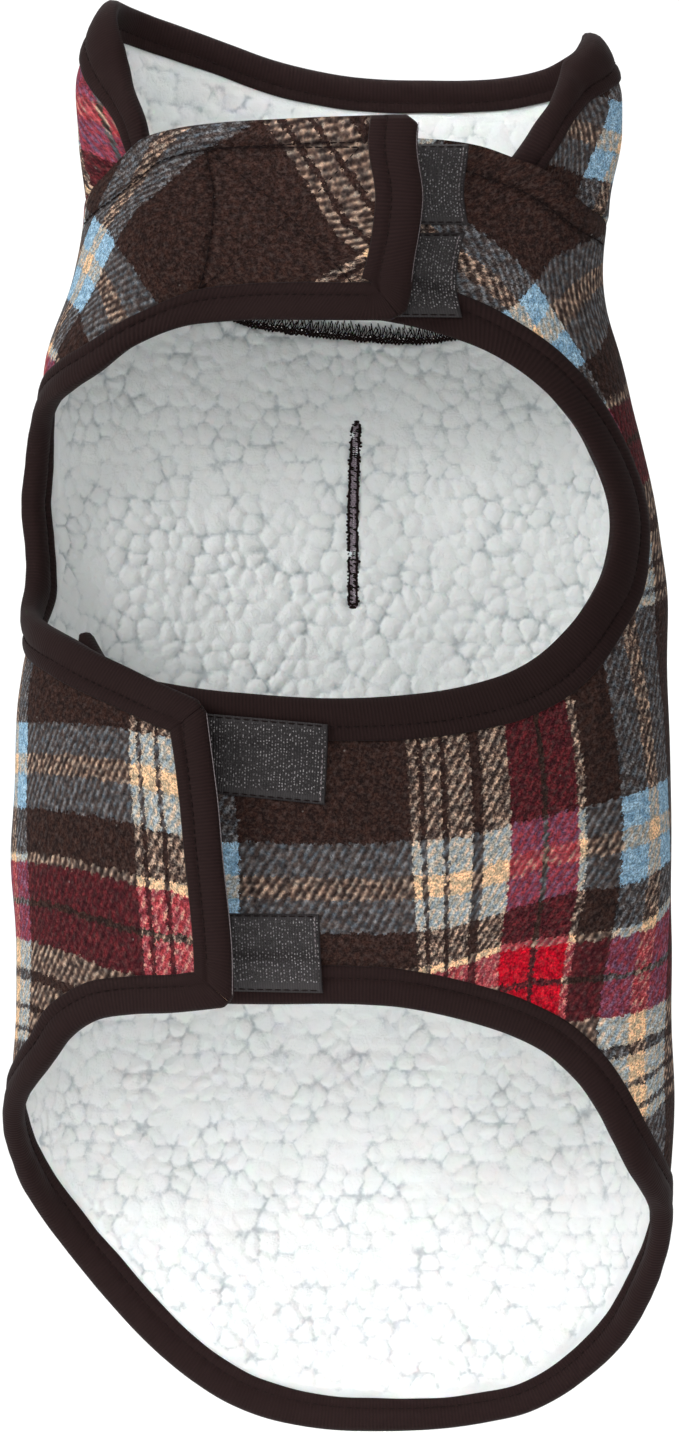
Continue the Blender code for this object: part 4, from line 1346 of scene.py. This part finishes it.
def hook_nylon():
    """Nylon hook tape, woven, with its loops cut into hooks.

    The ground is charcoal and ribbed, and the cut ends of the hooks catch the light as pale specks.
    """
    colours = bpy.context.scene.coat_colours
    material, tree, shader = new_material("nylon hook tape, woven and cut")
    hook = add(tree, "Attribute", {}, attribute_name="hook").outputs["Fac"]
    run = add(tree, "Attribute", {}, attribute_name="run").outputs["Vector"]
    ribs = add(tree, "TexWave", {
        "Vector": run, "Scale": PER_MM["tape rib"], "Distortion": 0.4},
        bands_direction="X").outputs["Fac"]
    grain = add(tree, "TexNoise", {"Vector": run, "Scale": PER_MM["tape grain"], "Detail": 2.0})
    # The ribs' light and dark lines are painted shade; the grain varies the tone at random
    shade = add(tree, "Math", {0: ribs, 1: grain})
    shade = add(tree, "MapRange", {
        "Value": shade, "From Min": 0.2, "From Max": 1.5, "To Min": 0.4, "To Max": 1.5})
    # Painted highlight: pale specks at the hooks' cut ends, over their paler nylon
    colour = add(tree, "Mix", {
        "Factor": hook, "A": (*colours.tape, 1.0), "B": (*colours.hook, 1.0)}, data_type="RGBA")
    shown = add(tree, "VectorMath", {0: colour.outputs["Result"], "Scale": shade},
                operation="SCALE")
    bump = add(tree, "Bump", {"Height": ribs, "Strength": 0.4, "Distance": 0.15 * MM})
    join(tree, shader, {
        "Base Color": shown, "Normal": bump, "Roughness": 0.5, "IOR": 1.53,
        "Specular IOR Level": 0.4})
    return material


def spun_thread(name, colour):
    """Polyester sewing thread, spun and twisted: its plies show as slanting turns 0.6 mm long."""
    material, tree, shader = new_material(name)
    place = add(tree, "TexCoord", {}).outputs["Object"]
    plies = add(tree, "TexWave", {
        "Vector": place, "Scale": PER_MM["ply"] / MM, "Distortion": 1.0},
        bands_direction="DIAGONAL").outputs["Fac"]
    # Painted shade between the turns of the plies
    shade = add(tree, "MapRange", {"Value": plies, "To Min": 0.75, "To Max": 1.2})
    shown = add(tree, "VectorMath", {0: tuple(colour), "Scale": shade}, operation="SCALE")
    bump = add(tree, "Bump", {"Height": plies, "Strength": 0.5, "Distance": 0.08 * MM})
    join(tree, shader, {
        "Base Color": shown, "Normal": bump, "Roughness": 0.85, "IOR": 1.5,
        "Specular IOR Level": 0.1})
    return material


THREADS = {}


def thread(shade):
    """The sewing thread's material in one of its shades, made once."""
    if shade not in THREADS:
        colour = bpy.context.scene.coat_colours.thread
        if shade in THREAD_SHADES:
            colour = linear(THREAD_SHADES[shade])
        THREADS[shade] = spun_thread(f"polyester thread, {shade}", colour)
    return THREADS[shade]


def backdrop_paper():
    """Backdrop paper, matt: it shows a very faint grain."""
    material, tree, shader = new_material("paper backdrop, matt")
    place = add(tree, "TexCoord", {}).outputs["Object"]
    grain = add(tree, "TexNoise", {"Vector": place, "Scale": PER_MM["paper grain"] / MM})
    tone = add(tree, "MapRange", {"Value": grain, "To Min": 0.93, "To Max": 0.96})
    join(tree, shader, {"Base Color": tone, "Roughness": 0.9})
    return material


# ------------------------------------------------------------------------------------------------
# The coat's pieces


def make_cloth(name, shape, material, fields):
    """A sheet of cloth that stands for one of the model's."""
    piece = make_piece(name, *shape, material, fields)
    stand_for(piece, name.rsplit("_", 1)[0])


class COAT_OT_shells(bpy.types.Operator):
    """Makes the plaid shells of the body and the collar."""

    bl_idname = "coat.shells"
    bl_label = "Plaid shells"

    def execute(self, context):
        material = brushed_twill()
        for name, cut, rise, holes, charts in sheets():
            seen = fill([cut.fine] + holes, SHELL_ZONES)
            hidden = fill([cut.fine] + holes, HIDDEN_ZONES)
            drawn, pressed = drawn_in(seen[0], cut, sewn_lines() if holes else {})
            outer = laid(seen[0], drawn - folded_over(seen[0], cut), rise)
            shape = wall(seen, hidden, outer, laid(hidden[0], -SHELL, rise))
            flat = np.concatenate([seen[0], hidden[0]])
            warp, weft = (spread(chart, flat) for chart in charts)
            make_cloth(f"{name}_shell_plaid", shape, material, {
                "threads": np.stack([warp, weft, np.zeros(len(flat))], axis=1),
                # Nearness to a sewn line, where the cloth's groove gets painted shade
                "pressed": np.concatenate([pressed, np.zeros(len(hidden[0]))]),
            })
        return {"FINISHED"}


class COAT_OT_linings(bpy.types.Operator):
    """Makes the sherpa linings of the body and the collar."""

    bl_idname = "coat.linings"
    bl_label = "Sherpa linings"

    def execute(self, context):
        material = sherpa_pile()
        size = context.scene.coat_sizes.clump / MM
        height = context.scene.coat_sizes.pile / MM
        for name, cut, rise, holes, _ in sheets():
            seen = fill([cut.fine] + holes, LINING_ZONES)
            hidden = fill([cut.fine] + holes, HIDDEN_ZONES)
            across, up = seen[0].T
            # The pile is pressed flat beside the bindings and the folded edges
            open_pile = (ease((cut.from_bound(seen[0]) - INNER_LIP[name]) / PILE_OPENS)
                         * ease((cut.from_free(seen[0]) - 0.2) / 1.6))
            pile = (0.85 * clumps(across, up, size, 11)
                    + 0.15 * clumps(across, up, 0.5 * size, 23))
            thick = LINING_AT_EDGE + open_pile * (
                LINING - LINING_AT_EDGE + height * (pile - 0.5) + 0.5 * waver(across, up, 40, 4))
            for hole in holes:
                thick -= 0.9 * np.exp(-(distance_to(hole, seen[0], closed=True) / 2.5) ** 2)
            inner = laid(seen[0], -SHELL - SEAM_GAP - thick, rise)
            shape = wall(seen, hidden, inner, laid(hidden[0], -SHELL - SEAM_GAP, rise))
            pile = np.concatenate([1 - (1 - pile) * open_pile, np.full(len(hidden[0]), 0.5)])
            make_cloth(f"{name}_lining_sherpa", shape, material, {"pile": pile})
        return {"FINISHED"}


def sweep_binding(name, cut, first, last, rise):
    """A binding's points, triangles, ribs' places and sewn lines, between two points of a cut."""
    edge, deep, at = cut.stretch(first, last, BINDING_STEP)
    inward = unit(deep - edge)
    along = unit(np.gradient(edge, axis=0))
    edge[0] += MITRE_GAP * along[0]
    edge[-1] -= MITRE_GAP * along[-1]
    section = np.array(BINDING_SECTION)
    outer, inner = (
        1 + np.interp(at / at[-1], np.linspace(0, 1, len(extra)), extra)[:, None] / BINDING_WIDTH
        for extra in (table.get(name, (0.0, 0.0)) for table in (BROADER_OUTSIDE, BROADER_INSIDE)))
    in_from_edge = section[:, 0] * np.where(section[:, 1] > -1, outer, inner)
    # Corners are blunted, and a free end is rounded off and pressed flat
    blunt = ease(np.minimum(at, at[-1] - at) / CORNER_BLUNTING)[:, None]
    in_from_edge = np.where(in_from_edge < 0, in_from_edge * (0.35 + 0.65 * blunt), in_from_edge)
    pressed = np.ones(len(at))
    if name in FREE_ENDS:
        to_end = at[-1] - at if FREE_ENDS[name] else at
        bend = END_ROUNDING / 2 * (1 - to_end / END_ROUNDING).clip(0, 1) ** 2
        in_from_edge += bend[:, None] * (1 - (in_from_edge / BINDING_WIDTH).clip(0, 1))
        pressed = 0.35 + 0.65 * np.sqrt(1 - (1 - (to_end / PRESSED_END).clip(0, 1)) ** 2)
    share = in_from_edge / BINDING_WIDTH
    flat = edge[:, None] + (deep - edge)[:, None] * share[:, :, None]
    # Its lips waver a little, and it puffs up here and there between its stitches
    uneven = waver(*edge.T, 23, 6)[:, None]
    ripple = waver(*edge.T, 9, 8)[:, None]
    flat += 0.16 * uneven[:, :, None] * inward[:, None] * (share > 0.7)[:, :, None]
    puffed = 0.07 * np.clip(section[:, 1] - BINDING_MIDDLE, -2.0, 2.0)
    out = section[:, 1] + puffed * (uneven + 0.7 * ripple)
    out = BINDING_MIDDLE + (out - BINDING_MIDDLE) * pressed[:, None]
    points = laid(flat, out, rise).reshape(-1, 3)
    size = len(section)
    a = np.arange(len(at) - 1)[:, None] * size + np.arange(size)
    b = np.roll(a, -1, axis=1)
    sides = np.stack([a, b, b + size, a, b + size, a + size], axis=-1).reshape(-1, 3)
    end = (len(at) - 1) * size
    caps = [cap for k in range(1, size - 1) for cap in ((0, k + 1, k), (end, end + k, end + k + 1))]
    run = np.stack([np.repeat(at, size), np.tile(places_along(section), len(at)),
                    np.zeros(len(points))], axis=1)
    lines = [edge + inward * distance
             for distance in (STITCH_IN * outer, INNER_STITCH_IN * inner, FOLD_IN)]
    return points, np.concatenate([sides, np.array(caps)]), run, lines


class COAT_OT_bindings(bpy.types.Operator):
    """Makes the bindings of the collar, the straps, the flaps and the hem, with their stitches."""

    bl_idname = "coat.bindings"
    bl_label = "Bindings"

    def execute(self, context):
        material = ribbed_binding()
        length = context.scene.coat_sizes.stitch / MM
        body, collar = the_cuts()
        jobs = [(name, body, body.starts[2 + k], body.starts[3 + k], body_rise)
                for k, name in enumerate(BINDING_NAMES)]
        jobs.append(("collar_binding", collar, collar.starts[0], collar.starts[3], collar_rise))
        seams = []
        pale = []
        for name, cut, first, last, rise in jobs:
            points, faces, run, lines = sweep_binding(name, cut, first, last, rise)
            outer_line, inner_line, fold = lines
            stand_for(make_piece(f"{name}_ribbed", points, faces, material, {"run": run}), name)
            seams.append(stitches(outer_line, rise, STITCH_OUT, length=length))
            seams.append(stitches(inner_line, rise, INNER_STITCH_OUT, inward=True, length=length))
            if name in PALE_EDGED:
                # A thin pale line along the fold, made as a tube in the pale thread's material
                pale.append(threads_on(fold[None, 3:-3], -0.1, rise, EDGE_LINE_RADIUS))
        make_threads("binding_stitches", seams, "spun")
        make_threads("binding_edge_threads", pale, "spun, pale")
        return {"FINISHED"}


def tape_ground(flat):
    """How far a tape's ground lies above the cloth, and above the binding where it crosses it."""
    body, _ = the_cuts()
    off_binding = ease((body.from_bound(flat) - BINDING_WIDTH - 1.0) / TAPE_STEP_OFF)
    return TAPE_GAP + TAPE_STEP * (1 - off_binding)


def slab(corners, wide, tall, ground, thick):
    """A tape's closed slab on a grid of wide by tall points, over the ground that it lies on."""
    u, v = (places.ravel() for places in np.meshgrid(np.linspace(0, 1, wide),
                                                     np.linspace(0, 1, tall)))
    flat = between_corners(corners, u, v)
    lift = ground(flat)
    rounded = np.minimum(np.minimum(u, 1 - u) * wide, np.minimum(v, 1 - v) * tall)
    top = lift + thick * (0.45 + 0.55 * ease(rounded / 1.5))
    points = np.concatenate([laid(flat, top, body_rise), laid(flat, lift, body_rise)])
    count = len(flat)
    grid = np.arange(count).reshape(tall, wide)
    a = grid[:-1, :-1].ravel()
    faces = np.stack([a, a + 1, a + wide + 1, a, a + wide + 1, a + wide], axis=1).reshape(-1, 3)
    ring = np.concatenate([grid[0], grid[1:, -1], grid[-1, -2::-1], grid[-2:0:-1, 0]])
    edges = np.stack([ring, np.roll(ring, -1)], axis=1)
    run = np.stack([np.tile(u * wide, 2), np.tile(v * tall, 2), np.zeros(2 * count)], axis=1)
    faces = np.concatenate([faces, faces[:, ::-1] + count, rim(edges, edges + count)])
    return points, faces, run


def hooks(corners, pitch):
    """A tape's hooks as (points, triangles), and each point's painted highlight on paler nylon."""
    width = np.linalg.norm(corners[1] - corners[0])
    height = np.linalg.norm(corners[3] - corners[0])
    rows = np.arange(int((height - 2 * HOOKS_IN_V) / pitch))
    cols = np.arange(int((width - 1.5) / pitch))
    u, v = np.meshgrid((HOOKS_IN_U + cols * pitch) / width, (HOOKS_IN_V + rows * pitch) / height)
    i = np.arange(u.size)
    jitter = 0.25 * pitch
    u = u.ravel() + jitter / width * (scatter(i, 1, 3) - 0.5)
    v = v.ravel() + jitter / height * (scatter(i, 2, 5) - 0.5)
    base = between_corners(corners, u, v)
    lean = np.stack([0.2 * (scatter(i, 9, 2) - 0.5), np.where(scatter(i, 3, 7) > 0.5, 1.0, -1.0)],
                    axis=1)
    path = base[:, None] + lean[:, None] * np.array(HOOK["reach"])[None, :, None]
    out = tape_ground(base)[:, None] + np.array(HOOK["height"])
    pale = np.tile(np.repeat(HOOK["pale"], HOOK_SIDES), len(base))
    # Each hook catches a random share of painted highlight, most of them little
    hook_glint = np.repeat(scatter(i, 4, 9) ** 2.2, HOOK_SIDES * len(HOOK["pale"]))
    return (threads_on(path, out, body_rise, HOOK_RADIUS, sides=HOOK_SIDES),
            pale * (0.04 + 1.35 * hook_glint).clip(0, 1))


def behind_lining(flat):
    """How far out the ground of the loop patch lies: behind the lining's pile."""
    return np.full(len(flat), PATCH_OUT)


class COAT_OT_hook_tapes(bpy.types.Operator):
    """Makes the four strips of hook tape, with their hooks, and the hidden loop patch."""

    bl_idname = "coat.hook_tapes"
    bl_label = "Hook tapes"

    def execute(self, context):
        material = hook_nylon()
        pitch = context.scene.coat_sizes.hook / MM
        for name, table in HOOK_TAPES.items():
            corners = points_of(table)
            points, faces, run = slab(corners, *TAPE_GRID, tape_ground, TAPE_THICK)
            (hook_points, hook_faces), pale = hooks(corners, pitch)
            fields = {
                "hook": np.concatenate([np.zeros(len(points)), pale]),
                "run": np.concatenate([run, np.full((len(hook_points), 3), 3.0)]),
            }
            shape = merged([(points, faces), (hook_points, hook_faces)])
            stand_for(make_piece(f"{name}_tape", *shape, material, fields), name)
        corners = points_of(LOOP_PATCH)
        points, faces, run = slab(corners, *PATCH_GRID, behind_lining, PATCH_THICK)
        fields = {"hook": np.zeros(len(points)), "run": run}
        patch = make_piece("chest_loop_patch_brushed", points, faces, material, fields)
        stand_for(patch, "chest_loop_patch")
        return {"FINISHED"}


def tape_stitches():
    """The stitches round the hook tapes: dark ones along them, and pale ones across their ends."""
    dark = []
    pale = []
    for table in HOOK_TAPES.values():
        corners = points_of(table)
        inset = corners + (corners.mean(axis=0) - corners) * TAPE_STITCH_INSET
        for a, b, sewn, length in ((0, 1, dark, 2.7), (2, 3, dark, 2.7), (3, 0, pale, 1.6)):
            line = straight(inset[a], inset[b], 30)
            lift = tape_ground(line).mean() + TAPE_STITCH_OUT
            sewn.append(stitches(line, body_rise, lift, length=length, radius=0.2))
    return dark, pale


def neck_overlock():
    """The overlocked neck seam: loops of thread from side to side over chains along it."""
    neck = edge_points(NECK)
    places = places_along(neck)
    at = evenly(places[-1], OVERLOCK_STEP / 4)
    line = through(neck, places, at)
    along = unit(np.gradient(line, axis=0))
    side = -turned_in(along)
    phase = at * 2 * math.pi / OVERLOCK_STEP
    uneven = waver(at, at, 7, 3)
    line = line + side * OVERLOCK_RISE
    parts = []
    for shift, reach, radius in OVERLOCK_LOOPS:
        turn = phase + shift + 0.9 * uneven
        path = line + side * (OVERLOCK_MIDDLE + reach * np.sin(turn) + 0.3 * uneven)[:, None]
        path += along * (0.5 * np.sin(2 * turn + 1))[:, None]
        lift = OVERLOCK_OUT - 0.1 - 0.4 * np.cos(turn)
        parts.append(threads_on(path[None], lift[None], body_rise, radius, inward=True))
    for shift, away, radius in OVERLOCK_CHAINS:
        weave = away + 0.4 * np.sin(2 * phase + shift + 2 * uneven) + 0.25 * uneven
        path = line + side * weave[:, None]
        parts.append(threads_on(path[None], OVERLOCK_OUT, body_rise, radius, inward=True))
    return parts


def leash_slot():
    """The leash slot's bars, and its purls with the bar across each end, on both faces."""
    ends = slot_middle(2)
    length = np.linalg.norm(ends[1] - ends[0])
    down = (ends[1] - ends[0]) / length
    beside = np.array([-down[1], down[0]])
    spine = slot_middle(int(length / BAR_STEP))
    each = np.arange(len(spine))
    knots = np.arange(int(length / KNOT_STEP))
    fine = slot_middle(4 * len(knots))
    height = fine[:, 1]
    shape = np.linspace(-1, 1, 5)
    arch = 0.3 * (1 - shape**4) - 0.2
    ragged = 0.16 * (scatter(each, 5, 3) - 0.5)
    bars = []
    purls = []

    for out, inward in ((SLOT_OUT, False), (SLOT_INNER_OUT, True)):
        sign = -1.0 if inward else 1.0

        def sewn(path, lift, radius):
            return threads_on(path, lift, body_rise, radius, inward)

        for offset in (-BAR_AWAY, BAR_AWAY):
            way = np.sign(offset)
            # Close bars of zigzag, a few of them in the darker thread
            wide = offset + BAR_HALF * shape[None] + ragged[:, None]
            path = spine[:, None] + beside * wide[:, :, None] + down * (0.2 * shape)[:, None]
            dark = scatter(each, 7, offset) > 0.75
            bars.append(sewn(path[~dark], out + sign * arch, BAR_RADIUS))
            purls.append(sewn(path[dark], out + sign * arch, BAR_RADIUS))
            # Short knots over a continuous purl
            sway = way * (KNOT_AWAY + 0.36 * waver(height, height, 3.4, 3 + offset))
            path = (fine + beside * sway[:, None]).reshape(-1, 4, 2)
            path += beside * (0.5 * (scatter(knots, 9, offset) - 0.5))[:, None, None]
            path = path[scatter(knots, 11, offset) > 0.1]
            purls.append(sewn(path, out + sign * 0.1, KNOT_RADIUS))
            sway = way * (PURL_AWAY + 0.24 * waver(height, height, 4.5, 8 + offset))
            purls.append(sewn((fine + beside * sway[:, None])[None], out, PURL_RADIUS))
        for end, step in zip(ends, (-1.0, 1.0)):
            away = step * (np.arange(3) * 0.5 - 0.4)
            path = end + down * away[:, None, None] + beside * (END_BAR_HALF * shape)[:, None]
            purls.append(sewn(path, out + sign * arch, END_BAR_RADIUS))
    return bars, purls


class COAT_OT_stitching(bpy.types.Operator):
    """Makes the topstitching, the box stitching, the serged neck seam and the leash slot's bars."""

    bl_idname = "coat.stitching"
    bl_label = "Stitching"

    def execute(self, context):
        dark, pale = tape_stitches()
        sewn = [stitches(line, body_rise, -STITCH_SUNK) for line in sewn_lines().values()]
        make_threads("strap_topstitching", sewn + dark, "spun")
        make_threads("tape_end_stitches", pale, "spun, pale")
        make_threads("neck_overlock", neck_overlock(), "spun")
        bars, purls = leash_slot()
        make_threads("leash_slot_bars", bars, "spun, grey")
        make_threads("leash_slot_buttonhole", purls, "spun")
        return {"FINISHED"}


# ------------------------------------------------------------------------------------------------
# The studio


def aim(thing, target):
    """Turns a light or camera to face a point."""
    thing.rotation_euler = (Vector(target) - thing.location).to_track_quat("-Z", "Y").to_euler()


def backdrop():
    """The backdrop as (points, triangles): a floor that curves up into a wall.

    Its wall is narrower than its floor, so that it doesn't hide the coat from behind.
    """
    profile = [(FLOOR_FRONT, FLOOR_HEIGHT)]
    for turn in np.linspace(0, math.pi / 2, 13):
        profile.append((FLOOR_BACK + BACKDROP_CURVE * math.sin(turn),
                        FLOOR_HEIGHT + BACKDROP_CURVE * (1 - math.cos(turn))))
    profile.append((FLOOR_BACK + BACKDROP_CURVE, WALL_TOP))
    points = np.array([(side * (FLOOR_HALF if y <= FLOOR_BACK else WALL_HALF), y, z)
                       for side in (-1, 1) for y, z in profile]) / MM
    n = len(profile)
    k = np.arange(n - 1)
    faces = np.stack([k, k + n, k + 1, k + 1, k + n, k + n + 1], axis=1).reshape(-1, 3)
    return points, faces


class COAT_OT_stage(bpy.types.Operator):
    """Makes the floor, the backdrop, the lights and the camera."""

    bl_idname = "coat.stage"
    bl_label = "Studio"

    def execute(self, context):
        scene = context.scene
        scene.view_settings.view_transform = "Standard"
        floor = make_piece("studio_backdrop", *backdrop(), backdrop_paper())
        world = scene.world or bpy.data.worlds.new("studio")
        scene.world = world
        world.use_nodes = True
        join(world.node_tree, world.node_tree.nodes["Background"],
             {"Color": (1.0, 1.0, 1.0, 1.0), "Strength": SKY_STRENGTH})
        for name, where, size, power, spread_angle, target in LIGHTS:
            data = bpy.data.lights.new(name, "AREA")
            data.size = size
            data.energy = power
            data.spread = math.radians(spread_angle)
            light = bpy.data.objects.new(name, data)
            light.location = where
            aim(light, target)
            context.collection.objects.link(light)
        data = bpy.data.cameras.new("camera")
        camera = bpy.data.objects.new("camera", data)
        context.collection.objects.link(camera)
        camera.location = (VIEW_X, VIEW_Y - CAMERA_AWAY, VIEW_Z)
        camera.rotation_euler = (math.pi / 2, 0, 0)
        data.sensor_fit = "VERTICAL"
        data.sensor_height = SENSOR_HEIGHT
        data.lens = SENSOR_HEIGHT * CAMERA_AWAY / VIEW_HEIGHT
        data.clip_end = VIEW_ENDS
        scene.camera = camera
        return {"FINISHED"}


class COAT_PT_panel(bpy.types.Panel):
    """Lists the coat's pieces, sizes and colours."""

    bl_label = "Dog winter coat"
    bl_space_type = "VIEW_3D"
    bl_region_type = "UI"
    bl_category = "Coat"

    def draw(self, context):
        for group in (context.scene.coat_sizes, context.scene.coat_colours):
            for name in group.__annotations__:
                self.layout.prop(group, name)
        for operator in OPERATORS:
            self.layout.operator(operator.bl_idname)


OPERATORS = (COAT_OT_shells, COAT_OT_linings, COAT_OT_bindings, COAT_OT_hook_tapes,
             COAT_OT_stitching, COAT_OT_stage)
CLASSES = (CoatSizes, CoatColours, *OPERATORS, COAT_PT_panel)


def register():
    """Adds the coat's classes and settings."""
    for cls in CLASSES:
        bpy.utils.register_class(cls)
    bpy.types.Scene.coat_sizes = bpy.props.PointerProperty(type=CoatSizes)
    bpy.types.Scene.coat_colours = bpy.props.PointerProperty(type=CoatColours)


def unregister():
    """Takes them away again."""
    del bpy.types.Scene.coat_sizes
    del bpy.types.Scene.coat_colours
    for cls in reversed(CLASSES):
        bpy.utils.unregister_class(cls)


def main():
    register()
    bpy.ops.coat.shells()
    bpy.ops.coat.linings()
    bpy.ops.coat.bindings()
    bpy.ops.coat.hook_tapes()
    bpy.ops.coat.stitching()
    bpy.ops.coat.stage()


if __name__ == "__main__":
    main()
